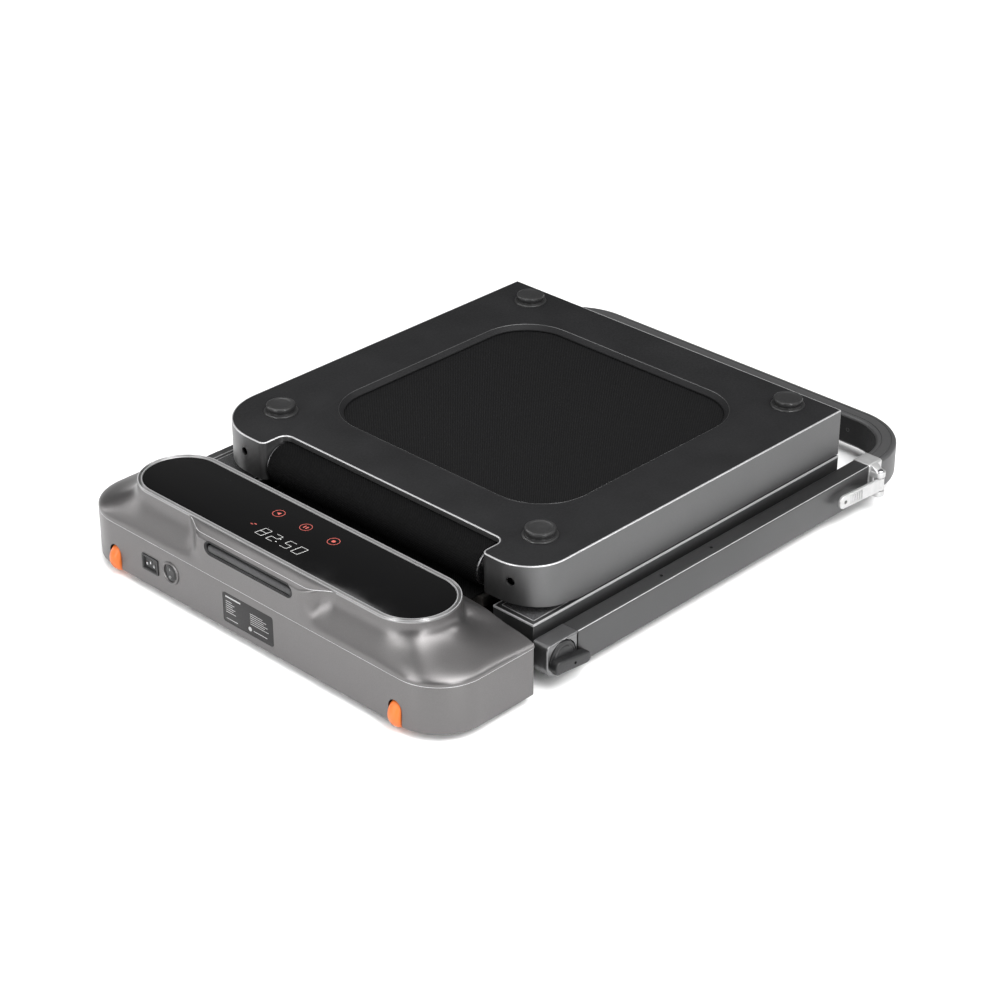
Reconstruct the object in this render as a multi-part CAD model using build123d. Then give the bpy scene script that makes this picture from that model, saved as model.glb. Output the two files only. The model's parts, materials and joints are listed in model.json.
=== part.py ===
from build123d import *
import os
from math import sqrt

os.makedirs("parts", exist_ok=True)

# Folding walking treadmill, folded: the motor housing is in front, the rear half of the deck lies
# upside down on the front half, and the handrail lies along both sides of the deck.
# Millimetres. X is across, Y runs from the motor housing to the fold, Z is up. While the pieces
# are made, y = 0 is the front face of the housing and z = 0 is the floor; save() centres them.

# ---- motor housing
HOUSING_HALF = 346.0
HOUSING_LENGTH = 164.0
HOUSING_BOTTOM = 11.5
PARTING_Z = 80.0
HOUSING_CORNER = 70.0
SHELL = 3.0
BOSS_X = (-94.0, 105.0)
GRIP_X = 4.0
OPEN_HALF = 311.0
COVER_REAR = 187.0
SLOT_HALF = 11.5
GLASS_Z = 137.4
GLASS_HALF = 272.0
GLASS_FRONT = 29.0
GLASS_REAR = 136.0
LIP = 6.0
GAP = 0.4

# ---- deck
DECK_HALF = 310.0
DECK_START = 200.0
DECK_END = 818.5
DECK_TOP = 80.5
RAIL_BOTTOM = 15.0
RAIL_INNER_LEFT = -218.0
RAIL_INNER_RIGHT = 240.0
WALL = 3.0
PAN = 1.5
BELT_X = 11.0
BELT_HALF = 196.0
BELT = 2.0
BOARD_HALF = 204.0
BOARD = 14.0
BOARD_END = 772.0
CROSS_Y = (290.0, 480.0, 700.0)
BELT_RISE_Y = 744.0
BELT_END = 815.0
ROLLER_R = 27.0
AXLE_R = 6.0
RUN_CLEAR = 0.05
FRONT_ROLLER_Y = 174.0

# ---- rear half, folded on top
HINGE_Y = 820.0
HINGE_Z = 81.5
REAR_HALF = 309.0
REAR_END = 819.5
REAR_LOW = 82.5
REAR_TOP = 151.0
LOBE_FRONT = 198.5
MID_FRONT = 240.0
RECESS_LEFT = -190.0
RECESS_RIGHT = 221.0
LOBE_R_LEFT = 90.0
LOBE_R_RIGHT = 60.0
REAR_ROLLER_Y = 230.0
WINDOW_HALF = 217.0
WINDOW_NEAR = 318.0
WINDOW_FAR = 740.0
WINDOW_R = 79.0
FOOT_X = 245.0
ADJUSTER_X = (-229.0, 268.0)
ADJUSTER_Z = 126.0
FOOT_NEAR_Y = 281.0
FOOT_FAR_Y = 781.0

# ---- handrail
TUBE_X = 330.0
TUBE_W = 27.0
TUBE_H = 51.0
TUBE_WALL = 2.5
TUBE_Z = 41.0
PIVOT_Y = 218.0
KNUCKLE_FRONT = 190.0
KNUCKLE_END = 246.0
TUBE_END = 845.0
BRACKET_END = 874.0
LEVER_PIN_X = 356.0
LEVER_PIN_Y = 855.0
BAR_FAR = 979.0
BAR_W = 29.0
BAR_H = 47.0
BAR_CORNER = 104.0
BAR_START = 876.5
GRIP_HALF = 122.0
CORE_START = 700.0
CORE_WALL = 2.0
CORE_W = 20.0
CORE_H = 38.0

# ---- small parts
WHEEL_X = 268.5
WHEEL_Y = 13.0
WHEEL_Z = 25.0
WHEEL_R = 21.0
SWITCH_X = -153.0
SWITCH_Z = 50.0
INLET_X = -194.5
INLET_Z = 46.5
MOTOR_Y = 80.0
MOTOR_Z = 56.0
PULLEY_X = -214.0
ROLLER_PULLEY_R = 22.0
MOTOR_PULLEY_R = 8.0

FRONT_ROLLER_Z = DECK_TOP - 1.0 - BELT - ROLLER_R
REAR_ROLLER_Z = 2 * HINGE_Z - FRONT_ROLLER_Z
MIDDLE_Y = (BAR_FAR + WHEEL_Y - WHEEL_R) / 2


# ---- helpers
def save(node, *shapes):
    """Writes one node, centred along Y."""
    group = Compound(children=[s.moved(Location((0, -MIDDLE_Y, 0))) for s in shapes])
    shape = group if len(group.solids()) > 1 else group.solids()[0]
    export_step(shape, f"parts/{node}.step")


def block(x0, x1, y0, y1, z0, z1):
    return Pos((x0 + x1) / 2, (y0 + y1) / 2, (z0 + z1) / 2) * Box(x1 - x0, y1 - y0, z1 - z0)


def rod_x(x0, x1, y, z, r):
    return Pos((x0 + x1) / 2, y, z) * Rot(0, 90, 0) * Cylinder(r, x1 - x0)


def rod_y(x, y0, y1, z, r):
    return Pos(x, (y0 + y1) / 2, z) * Rot(90, 0, 0) * Cylinder(r, y1 - y0)


def rod_z(x, y, z0, z1, r):
    return Pos(x, y, (z0 + z1) / 2) * Cylinder(r, z1 - z0)


def tube_x(x0, x1, y, z, r, bore):
    return rod_x(x0, x1, y, z, r) - rod_x(x0 - 1, x1 + 1, y, z, bore)


def slab(face, z0, z1):
    """A plan face extruded between two heights."""
    return Pos(0, 0, z0) * extrude(face, z1 - z0)


def plan(x0, x1, y0, y1, r=0.0):
    """A rectangle in plan, with rounded corners when r is given."""
    shape = RectangleRounded(x1 - x0, y1 - y0, r) if r else Rectangle(x1 - x0, y1 - y0)
    return Pos((x0 + x1) / 2, (y0 + y1) / 2) * shape


def mirrored(shape):
    return mirror(shape, about=Plane.YZ)


def both_sides(shape):
    return [shape, mirrored(shape)]


# ---- motor housing shells
def housing_plan(inset=0.0):
    """The plan of the housing: two round front corners, square rear corners."""
    half = HOUSING_HALF - inset
    corner = HOUSING_CORNER - inset
    rear = HOUSING_LENGTH - inset
    body = plan(-half, half, inset, rear + corner, corner)
    return body & plan(-half - 1, half + 1, inset - 1, rear)


def cover_sections(inset):
    """The cover's plan at rising heights: an S-curve from the band up to the lip."""
    lip_half = GLASS_HALF + LIP
    lip_front = GLASS_FRONT - LIP
    lip_rear = GLASS_REAR + LIP
    steps = 6
    sections = []
    for i in range(steps + 1):
        t = i / steps
        z = PARTING_Z + GAP + (GLASS_Z - 2 - PARTING_Z - GAP) * t
        flare = 1 - t * t * (3 - 2 * t)
        half = lip_half + (HOUSING_HALF - lip_half) * flare - inset
        front = lip_front * (1 - flare) + inset
        rear = lip_rear + (COVER_REAR - lip_rear) * flare - inset
        radius = 53.0 + (HOUSING_CORNER - 53.0) * flare - inset
        sections.append(Pos(0, 0, z - inset) * plan(-half, half, front, rear, radius))
    return sections


def cover_body(inset):
    shell = loft(cover_sections(inset), ruled=True)
    low = PARTING_Z + GAP - inset
    corners = block(-HOUSING_HALF + inset, HOUSING_HALF - inset, 90, HOUSING_LENGTH - inset, low, 88 - inset)
    boss = block(BOSS_X[0] + inset, BOSS_X[1] - inset, 1 + inset, 60, low, 134 - inset)
    body = shell + corners + boss
    return body & block(-400, 400, -50, HOUSING_LENGTH - inset, 0, 200)


def upper_cover():
    shape = cover_body(0.0) - cover_body(SHELL)
    shape -= block(-400, 400, -50, 250, 0, PARTING_Z + GAP)
    shape -= slab(plan(-GLASS_HALF - 2, GLASS_HALF + 2, GLASS_FRONT - 2, GLASS_REAR + 2, 55), 120, 160)
    shape -= block(RAIL_INNER_LEFT, RAIL_INNER_RIGHT, 150, 170, 60, 96)
    slot = Plane.XZ * (Pos(GRIP_X, 121) * RectangleRounded(168, 21, 10))
    shape -= Pos(0, 30, 0) * extrude(slot, 40)
    return shape


def grip_cup():
    """The finger recess in the raised boss."""
    outer = Plane.XZ * (Pos(GRIP_X, 121) * RectangleRounded(167.4, 20.4, 10))
    inner = Plane.XZ * (Pos(GRIP_X, 121) * RectangleRounded(160, 13, 6))
    cup = Pos(0, 26, 0) * extrude(outer, 25)
    return cup - Pos(0, 22.5, 0) * extrude(inner, 24)


def lower_shell():
    shape = slab(housing_plan(), HOUSING_BOTTOM, PARTING_Z)
    shape -= slab(housing_plan(SHELL), HOUSING_BOTTOM + SHELL, PARTING_Z + 1)
    shape -= block(-OPEN_HALF, OPEN_HALF, 150, 170, HOUSING_BOTTOM + SHELL, PARTING_Z + 1)
    for side in (-1, 1):
        x = side * WHEEL_X
        slot_top = WHEEL_Z + WHEEL_R + 1
        shape -= block(x - SLOT_HALF, x + SLOT_HALF, -5, SHELL + 0.1, HOUSING_BOTTOM - 1, slot_top)
        shape -= block(x - SLOT_HALF, x + SLOT_HALF, 0, 37, HOUSING_BOTTOM - 1, HOUSING_BOTTOM + SHELL)
    shape -= block(INLET_X - 14, INLET_X + 14, -5, 10, INLET_Z - 10, INLET_Z + 10)
    shape -= rod_y(SWITCH_X, -5, 10, SWITCH_Z, 14.5)
    shape -= block(-48.5, 48.5, -1, 0.8, 23.5, 68)
    return shape


def display_bezel():
    outer = plan(-GLASS_HALF - LIP, GLASS_HALF + LIP, GLASS_FRONT - LIP, GLASS_REAR + LIP, 59)
    inner = plan(-GLASS_HALF - 0.3, GLASS_HALF + 0.3, GLASS_FRONT - 0.3, GLASS_REAR + 0.3, 53.7)
    return slab(outer, GLASS_Z - 1.8, GLASS_Z + 0.6) - slab(inner, GLASS_Z - 3, GLASS_Z + 2)


def display_glass():
    return slab(plan(-GLASS_HALF, GLASS_HALF, GLASS_FRONT, GLASS_REAR, 53.4), GLASS_Z - 3, GLASS_Z)


def display_board():
    board = block(-80, 90, 38, 118, 126, 127.6)
    digits = [block(x, x + 15, 43, 65, 127.6, 133.6) for x in (-42, -21, 9, 30)]
    pads = [rod_z(x, 104, 127.6, 133.8, 8) for x in (-52, 0, 52)]
    return board + digits + pads


# ---- inlet, switch, label
def power_inlet():
    flange = block(INLET_X - 16.5, INLET_X + 16.5, -1.6, 0, INLET_Z - 12, INLET_Z + 12)
    body = block(INLET_X - 13.5, INLET_X + 13.5, 0, 20, INLET_Z - 9.6, INLET_Z + 9.6)
    cavity = block(INLET_X - 12, INLET_X + 12, -3, 17, INLET_Z - 8, INLET_Z + 8)
    housing = flange + body - cavity
    pins = [block(INLET_X + d - 1, INLET_X + d + 1, 6, 17, INLET_Z - 2, INLET_Z + 2) for d in (-7, 0, 7)]
    return housing + pins


def switch_bezel():
    ring = rod_y(SWITCH_X, -1.8, 0, SWITCH_Z, 16.6) + rod_y(SWITCH_X, 0, 12, SWITCH_Z, 14.2)
    return ring - rod_y(SWITCH_X, -3, 10.5, SWITCH_Z, 12.6)


def power_rocker():
    """A round rocker, whose drum turns about X inside the bezel."""
    drum = rod_x(SWITCH_X - 9.5, SWITCH_X + 9.5, 3.5, SWITCH_Z, 6.0)
    cap = rod_y(SWITCH_X, -1.5, 3.0, SWITCH_Z, 11.6)
    rocker = cap + drum
    return Pos(0, 3.5, SWITCH_Z) * Rot(-5, 0, 0) * Pos(0, -3.5, -SWITCH_Z) * rocker


def rating_label():
    face = Plane.XZ * (Pos(0, 45.75) * RectangleRounded(96, 43.6, 4))
    return Pos(0, 0.75, 0) * extrude(face, 0.7)


# ---- transport wheels and feet under the front half
def transport_wheel(side):
    x = side * WHEEL_X
    tyre = tube_x(x - 10, x + 10, WHEEL_Y, WHEEL_Z, WHEEL_R, 4 + RUN_CLEAR)
    return fillet(tyre.edges().filter_by(GeomType.CIRCLE).sort_by(lambda e: -e.radius)[:2], 5)


def wheel_mounts():
    """One axle and two cheeks for each wheel."""
    shapes = []
    for side in (-1, 1):
        x = side * WHEEL_X
        axle = rod_x(x - 17, x + 17, WHEEL_Y, WHEEL_Z, 4)
        cheeks = [block(x + d - 2, x + d + 2, 5, 42, 14.5, 36) for d in (-14, 14)]
        shapes.append(axle + cheeks)
    return shapes


def front_feet():
    """Round rubber feet with a moulded step."""
    shapes = []
    for x in (-300, 300):
        shapes.append(rod_z(x, 120, 0, 8, 18) + rod_z(x, 120, 8, HOUSING_BOTTOM, 22))
    for x in (-262, 262):
        shapes.append(rod_z(x, 790, 0, 8, 18) + rod_z(x, 790, 8, RAIL_BOTTOM - PAN, 22))
    return shapes


# ---- drive
def motor():
    can = tube_x(-190, -58, MOTOR_Y, MOTOR_Z, 36, 31)
    near_end = tube_x(-194, -190, MOTOR_Y, MOTOR_Z, 38, 9)
    far_end = tube_x(-58, -54, MOTOR_Y, MOTOR_Z, 38, 9)
    saddle = block(-180, -70, MOTOR_Y - 22, MOTOR_Y + 22, 14.6, 30)
    return can + near_end + far_end + (saddle - rod_x(-200, -50, MOTOR_Y, MOTOR_Z, 35))


def motor_rotor():
    armature = rod_x(-184, -64, MOTOR_Y, MOTOR_Z, 26)
    shaft = rod_x(-226, -36, MOTOR_Y, MOTOR_Z, 5)
    pulley = rod_x(PULLEY_X - 8, PULLEY_X + 8, MOTOR_Y, MOTOR_Z, MOTOR_PULLEY_R)
    return armature + shaft + pulley


def motor_fan():
    hub = tube_x(-50, -38, MOTOR_Y, MOTOR_Z, 9, 5)
    blades = []
    for i in range(9):
        blade = block(-49, -39, -1, 1, 8, 27)
        blades.append(Pos(0, MOTOR_Y, MOTOR_Z) * Rot(40 * i, 0, 0) * blade)
    return hub + blades


def drive_belt():
    """Open belt round both pulleys, as a pair of straight runs and two wraps."""
    centre_gap = FRONT_ROLLER_Y - MOTOR_Y
    drop = FRONT_ROLLER_Z - MOTOR_Z

    def loop(extra):
        small = Pos(MOTOR_Y, MOTOR_Z) * Circle(MOTOR_PULLEY_R + extra)
        large = Pos(MOTOR_Y + centre_gap, MOTOR_Z + drop) * Circle(ROLLER_PULLEY_R + extra)
        return make_hull(small.edges() + large.edges())

    band = Plane.YZ * (loop(2.3) - loop(0.3))
    return Pos(PULLEY_X - 7, 0, 0) * extrude(band, 14)


def controller():
    board = block(40, 250, 28, 128, 22, 24)
    sink = block(60, 150, 34, 60, 24, 30)
    fins = [block(60 + 9 * i, 63 + 9 * i, 34, 60, 30, 60) for i in range(10)]
    caps = [rod_z(190 + 26 * i, 60, 24, 62, 10) for i in range(2)]
    relay = block(170, 230, 92, 118, 24, 44)
    posts = [rod_z(x, y, 14.5, 22, 4) for x in (48, 242) for y in (34, 122)]
    return board + sink + fins + caps + relay + posts


# ---- rollers
def roller(y, z):
    x0 = BELT_X - BELT_HALF - 3
    x1 = BELT_X + BELT_HALF + 3
    drum = tube_x(x0, x1, y, z, ROLLER_R, ROLLER_R - 3)
    ends = [tube_x(x, x + 8, y, z, ROLLER_R - 3, AXLE_R + RUN_CLEAR) for x in (x0, x1 - 8)]
    return drum + ends


def roller_pulley():
    """The poly-V pulley on the front roller's left end."""
    x0 = PULLEY_X - 8
    x1 = BELT_X - BELT_HALF - 3
    wheel = tube_x(x0, PULLEY_X + 8, FRONT_ROLLER_Y, FRONT_ROLLER_Z, ROLLER_PULLEY_R, AXLE_R + RUN_CLEAR)
    neck = tube_x(PULLEY_X + 8, x1, FRONT_ROLLER_Y, FRONT_ROLLER_Z, 14, AXLE_R + RUN_CLEAR)
    return wheel + neck


def front_axle():
    return rod_x(-242, 256, FRONT_ROLLER_Y, FRONT_ROLLER_Z, AXLE_R)


def front_axle_brackets():
    shapes = []
    for x0, x1 in ((-242, -236), (250, 256)):
        plate = block(x0, x1, 140, DECK_START, RAIL_BOTTOM, 66)
        shapes.append(plate - rod_x(x0 - 1, x1 + 1, FRONT_ROLLER_Y, FRONT_ROLLER_Z, AXLE_R + RUN_CLEAR))
    return shapes


# ---- front half of the deck
def hinge_pocket():
    return block(249, 301, HINGE_Y - 12, HINGE_Y + 12, HINGE_Z - 9, HINGE_Z + 9)


def front_rail(x0, x1):
    """A closed box rail that carries a foot pad."""
    rail = block(x0, x1, DECK_START, DECK_END, RAIL_BOTTOM, DECK_TOP)
    y0, y1 = DECK_START + WALL, DECK_END - WALL
    rail -= block(x0 + WALL, x1 - WALL, y0, y1, RAIL_BOTTOM + WALL, DECK_TOP - WALL)
    for pocket in both_sides(hinge_pocket()):
        rail -= pocket
    for shape in both_sides(rod_x(290, 330, PIVOT_Y, TUBE_Z, AXLE_R + RUN_CLEAR)):
        rail -= shape
    return rail


def foot_pad(x0, x1):
    """A ribbed anti-slip strip let into the top of a rail."""
    pad = block(x0 + 7, x1 - 7, DECK_START + 8, DECK_END - 12, DECK_TOP, DECK_TOP + 0.5)
    return pad


def front_cross_members():
    x0, x1 = RAIL_INNER_LEFT, RAIL_INNER_RIGHT
    top = DECK_TOP - 1 - BELT - BOARD - 0.5
    members = []
    for y in CROSS_Y:
        outer = block(x0, x1, y - 20, y + 20, top - 26, top)
        members.append(outer - block(x0 - 1, x1 + 1, y - 17, y + 17, top - 23, top - 3))
    return members


def front_board():
    top = DECK_TOP - 1 - BELT - 0.5
    return block(BELT_X - BOARD_HALF, BELT_X + BOARD_HALF, 206, BOARD_END, top - BOARD, top)


def walking_belt(y_roller, z_roller, side):
    """Half of the belt, wrapped round one roller. side is +1 where its walked run faces up."""
    r0 = ROLLER_R + 0.3
    r1 = r0 + BELT
    x0, x1 = BELT_X - BELT_HALF, BELT_X + BELT_HALF
    wrap = tube_x(x0, x1, y_roller, z_roller, r1, r0)
    wrap -= block(x0 - 1, x1 + 1, y_roller, y_roller + 60, z_roller - 60, z_roller + 60)
    walk_z = sorted((z_roller + side * r0, z_roller + side * r1))
    back_z = sorted((z_roller - side * r0, z_roller - side * r1))
    walk = block(x0, x1, y_roller, BELT_END, *walk_z)
    back = block(x0, x1, y_roller, BELT_RISE_Y, *back_z)
    rise_z = z_roller + side * (ROLLER_R - 6)
    low = z_roller - side * r1
    high = z_roller - side * r0
    under = rise_z - side * BELT
    rise = Polyline((BELT_RISE_Y, low), (BELT_RISE_Y, high), (BELT_END - 6, rise_z), (BELT_END, rise_z),
                    (BELT_END, under), (BELT_END - 5, under), (BELT_RISE_Y, low))
    return wrap + walk + back + Pos(x0, 0, 0) * extrude(Plane.YZ * make_face(rise), x1 - x0)


def guide_bar(z_roller, side):
    """The bar that turns the belt's return run towards the fold."""
    z = z_roller - side * (ROLLER_R - 6)
    return rod_x(RAIL_INNER_LEFT, RAIL_INNER_RIGHT, BELT_RISE_Y - 2, z, 5.5)


def front_pan():
    """The sheet under the front half, screwed to both rails."""
    return block(-DECK_HALF + 4, DECK_HALF - 4, 166, DECK_END - 2, RAIL_BOTTOM - PAN, RAIL_BOTTOM)


def pivot_bolts():
    bolt = rod_x(296, 338, PIVOT_Y, TUBE_Z, AXLE_R) + rod_x(290, 296, PIVOT_Y, TUBE_Z, 10)
    washer = tube_x(DECK_HALF, 315.5, PIVOT_Y, TUBE_Z, 16, AXLE_R)
    return both_sides(bolt + washer)


# ---- fold hinges
def knuckle(x0, x1):
    return tube_x(x0, x1, HINGE_Y, HINGE_Z, 6.0, 3 + RUN_CLEAR)


def front_hinge_leaves():
    barrels = knuckle(250, 262) + knuckle(288, 300)
    plate = block(250, 300, 770, 812, 73.5, 77.4)
    arms = block(250, 262, 809, 818, 73.5, 80) + block(288, 300, 809, 818, 73.5, 80)
    shape = barrels + plate + arms
    return both_sides(shape - rod_x(240, 310, HINGE_Y, HINGE_Z, 3 + RUN_CLEAR))


def rear_hinge_leaves():
    barrel = knuckle(270.4, 287.6)
    plate = block(250, 300, 770, 812, 85.6, 89.5)
    arm = block(270.4, 287.6, 809, 818, 83, 89.5)
    shape = barrel + plate + arm
    return both_sides(shape - rod_x(240, 310, HINGE_Y, HINGE_Z, 3 + RUN_CLEAR))


def hinge_pin():
    """A floating pin with a stop collar, free to turn in the leaves of both halves."""
    pin = rod_x(249.2, 300.8, HINGE_Y, HINGE_Z, 3)
    collar = rod_x(262.4, 270, HINGE_Y, HINGE_Z, 6)
    lug = block(262.4, 270, HINGE_Y + 4, HINGE_Y + 8.2, HINGE_Z - 2, HINGE_Z + 2)
    return pin + collar + lug


# ---- rear half of the deck
def rear_outline(inset=0.0):
    """The plan of the rear half: two round lobes in front with a recess between them."""
    half = REAR_HALF - inset
    front = LOBE_FRONT + inset
    mid = MID_FRONT + inset
    end = REAR_END - inset
    r_left = LOBE_R_LEFT - inset
    r_right = LOBE_R_RIGHT - inset
    in_left = RECESS_LEFT - inset
    in_right = RECESS_RIGHT + inset
    k = sqrt(0.5)
    edges = [
        Line((-half, front + r_left), (-half, end)),
        Line((-half, end), (half, end)),
        Line((half, end), (half, front + r_right)),
        ThreePointArc((half, front + r_right), (half - r_right * (1 - k), front + r_right * (1 - k)),
                      (half - r_right, front)),
        Line((half - r_right, front), (in_right, front)),
        Line((in_right, front), (in_right, mid)),
        Line((in_right, mid), (in_left, mid)),
        Line((in_left, mid), (in_left, front)),
        Line((in_left, front), (-half + r_left, front)),
        ThreePointArc((-half + r_left, front), (-half + r_left * (1 - k), front + r_left * (1 - k)),
                      (-half, front + r_left)),
    ]
    return make_face(edges)


def nose_cut():
    """The lobes slope up on the running side towards their noses."""
    profile = Plane.YZ * make_face(Polyline((150, 70), (150, 102), (LOBE_FRONT, 95), (290, REAR_LOW),
                                            (290, 70), (150, 70)))
    return Pos(-400, 0, 0) * extrude(profile, 800)


def rear_skirt():
    shape = slab(rear_outline(), REAR_LOW, REAR_TOP + 0.2)
    shape -= slab(rear_outline(WALL), REAR_LOW - 1, REAR_TOP + 1)
    shape -= block(RECESS_LEFT - WALL - 1, RECESS_RIGHT + WALL + 1, 222, 260, REAR_LOW - 1, REAR_TOP - 9)
    shape -= nose_cut()
    for pocket in both_sides(hinge_pocket()):
        shape -= pocket
    for x in ADJUSTER_X:
        shape -= rod_y(x, 190, 222, ADJUSTER_Z, 6)
    return shape


def rear_panel():
    shape = slab(rear_outline(WALL + 0.3), REAR_TOP - 2.5, REAR_TOP)
    window = plan(-WINDOW_HALF, WINDOW_HALF, WINDOW_NEAR, WINDOW_FAR, WINDOW_R)
    return shape - slab(window, REAR_TOP - 5, REAR_TOP + 1)


def window_rim():
    """The bevelled frame that drops from the panel to the belt."""
    outer = plan(-WINDOW_HALF - 8, WINDOW_HALF + 8, WINDOW_NEAR - 8, WINDOW_FAR + 8, WINDOW_R + 8)
    inner = plan(-WINDOW_HALF + 5, WINDOW_HALF - 5, WINDOW_NEAR + 5, WINDOW_FAR - 5, WINDOW_R - 5)
    rim = slab(outer, REAR_TOP - 5, REAR_TOP - 2.6) - slab(inner, REAR_TOP - 6, REAR_TOP)
    upstand = slab(plan(-WINDOW_HALF + 0.3, WINDOW_HALF - 0.3, WINDOW_NEAR + 0.3, WINDOW_FAR - 0.3,
                        WINDOW_R - 0.3), REAR_TOP - 2.6, REAR_TOP - 0.8)
    upstand -= slab(plan(-WINDOW_HALF + 3, WINDOW_HALF - 3, WINDOW_NEAR + 3, WINDOW_FAR - 3, WINDOW_R - 3),
                    REAR_TOP - 3, REAR_TOP)
    return rim + upstand


def rear_rail(x0, x1):
    """The foot plate of one edge of the rear half, with a wall along its inner edge."""
    plate = slab(rear_outline(WALL + 0.2), REAR_LOW, REAR_LOW + WALL) & block(x0, x1, 150, REAR_END, 70, 120)
    wall_x = x1 - WALL if x1 < 0 else x0
    wall = block(wall_x, wall_x + WALL, 292, 812, REAR_LOW, 122)
    shape = plate + wall
    for pocket in both_sides(hinge_pocket()):
        shape -= pocket
    return shape - nose_cut()


def nose_plate(x0, x1):
    """The sloping end plate of one lobe."""
    profile = Plane.YZ * make_face(Polyline((LOBE_FRONT, 95.4), (289, REAR_LOW + 0.6), (289, REAR_LOW + 3.6),
                                            (LOBE_FRONT, 98.4), (LOBE_FRONT, 95.4)))
    plate = Pos(x0, 0, 0) * extrude(profile, x1 - x0)
    return plate & slab(rear_outline(WALL + 0.2), 80, 120)


def rear_pad(x0, x1):
    return block(x0, x1, 300, REAR_END - 14, REAR_LOW - 0.5, REAR_LOW)


def rear_board():
    low = REAR_ROLLER_Z - ROLLER_R + 0.8
    return block(BELT_X - BOARD_HALF, BELT_X + BOARD_HALF, 262, BOARD_END, low, low + BOARD)


def rear_cross_members():
    """Pressed channels across the rear half, each with a box under it that carries the board."""
    low = REAR_ROLLER_Z - ROLLER_R + 0.8 + BOARD
    x0, x1 = BELT_X - BOARD_HALF, BELT_X + BOARD_HALF
    inside = slab(rear_outline(WALL + 0.2), low, 140)
    shapes = []
    for y in CROSS_Y:
        channel = block(-REAR_HALF, REAR_HALF, y - 18, y + 18, 122, 134)
        channel -= block(-400, 400, y - 15, y + 15, 121, 131)
        box = block(x0, x1, y - 18, y + 18, low, 122)
        box -= block(x0 + WALL, x1 - WALL, y - 15, y + 15, low - 1, 123)
        shapes.append((channel + box) & inside)
    return shapes


def rear_axle():
    return rod_x(-262, 284, REAR_ROLLER_Y, REAR_ROLLER_Z, AXLE_R)


def adjusters():
    """The bolt and block at each end of the rear axle that tension and track the belt."""
    shapes = []
    near = REAR_ROLLER_Y - 10
    for x in ADJUSTER_X:
        carrier = block(x - 8, x + 8, near, near + 20, REAR_ROLLER_Z - 10, ADJUSTER_Z + 8)
        carrier -= rod_x(x - 20, x + 20, REAR_ROLLER_Y, REAR_ROLLER_Z, AXLE_R + RUN_CLEAR)
        bolt = rod_y(x, near - 6, near, ADJUSTER_Z, 3.5) + rod_y(x, near - 10, near - 6, ADJUSTER_Z, 5)
        shapes.append(carrier + bolt)
    return shapes


def rear_feet():
    """Button feet, which stand on the floor when the deck is unfolded."""
    top = 2 * HINGE_Z
    shapes = []
    for x in (-FOOT_X, FOOT_X):
        for y in (FOOT_NEAR_Y, FOOT_FAR_Y):
            flange = rod_z(x, y, REAR_TOP, REAR_TOP + 4, 24)
            waist = rod_z(x, y, REAR_TOP + 4, REAR_TOP + 6, 18)
            button = rod_z(x, y, REAR_TOP + 6, top, 20.5)
            shapes.append(flange + waist + button)
    return shapes


# ---- handrail
def upright():
    top = TUBE_Z + TUBE_H / 2
    bore_w = TUBE_W - 2 * TUBE_WALL
    bore_h = TUBE_H - 2 * TUBE_WALL
    outer = Plane.XZ * (Pos(TUBE_X, TUBE_Z) * RectangleRounded(TUBE_W, TUBE_H, 3))
    inner = Plane.XZ * (Pos(TUBE_X, TUBE_Z) * RectangleRounded(bore_w, bore_h, 1))
    tube = Pos(0, TUBE_END, 0) * extrude(outer, TUBE_END - KNUCKLE_END - 0.4)
    tube -= Pos(0, TUBE_END + 1, 0) * extrude(inner, TUBE_END - KNUCKLE_END + 10)
    for y in (420, 520):
        tube -= rod_z(TUBE_X, y, top - 5, top + 5, 2.5)
    return tube


def upright_knuckle():
    """The cast foot of an upright, round at the lower front, bored for the pivot bolt."""
    x0, x1 = TUBE_X - TUBE_W / 2, TUBE_X + TUBE_W / 2
    z0, z1 = TUBE_Z - TUBE_H / 2, TUBE_Z + TUBE_H / 2
    body = block(x0, x1, KNUCKLE_FRONT, KNUCKLE_END, z0, z1)
    body = fillet(body.edges().filter_by(Axis.X).group_by(Axis.Y)[0].sort_by(Axis.Z)[0], 20)
    body = fillet(body.edges().filter_by(Axis.X).group_by(Axis.Y)[0].sort_by(Axis.Z)[-1], 6)
    spigot = block(x0 + 3, x1 - 3, KNUCKLE_END, KNUCKLE_END + 30, z0 + 3, z1 - 3)
    body = body + spigot
    body -= rod_x(x0 - 1, x1 + 1, PIVOT_Y, TUBE_Z, AXLE_R + RUN_CLEAR)
    return body - rod_x(x1 - 4, x1 + 5, PIVOT_Y, TUBE_Z, 24.5)


def lock_knob():
    """A round hub with a bar handle."""
    x1 = TUBE_X + TUBE_W / 2
    hub = rod_x(x1 - 3.7, x1 + 3, PIVOT_Y, TUBE_Z, 23)
    heel = Pos(PIVOT_Y - 18, TUBE_Z - 1) * Circle(8.5)
    tip = Pos(PIVOT_Y + 43, TUBE_Z - 14) * Circle(7.5)
    bar = Plane.YZ * make_hull(heel.edges() + tip.edges())
    return hub + Pos(x1 + 3, 0, 0) * extrude(bar, 11)


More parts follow.
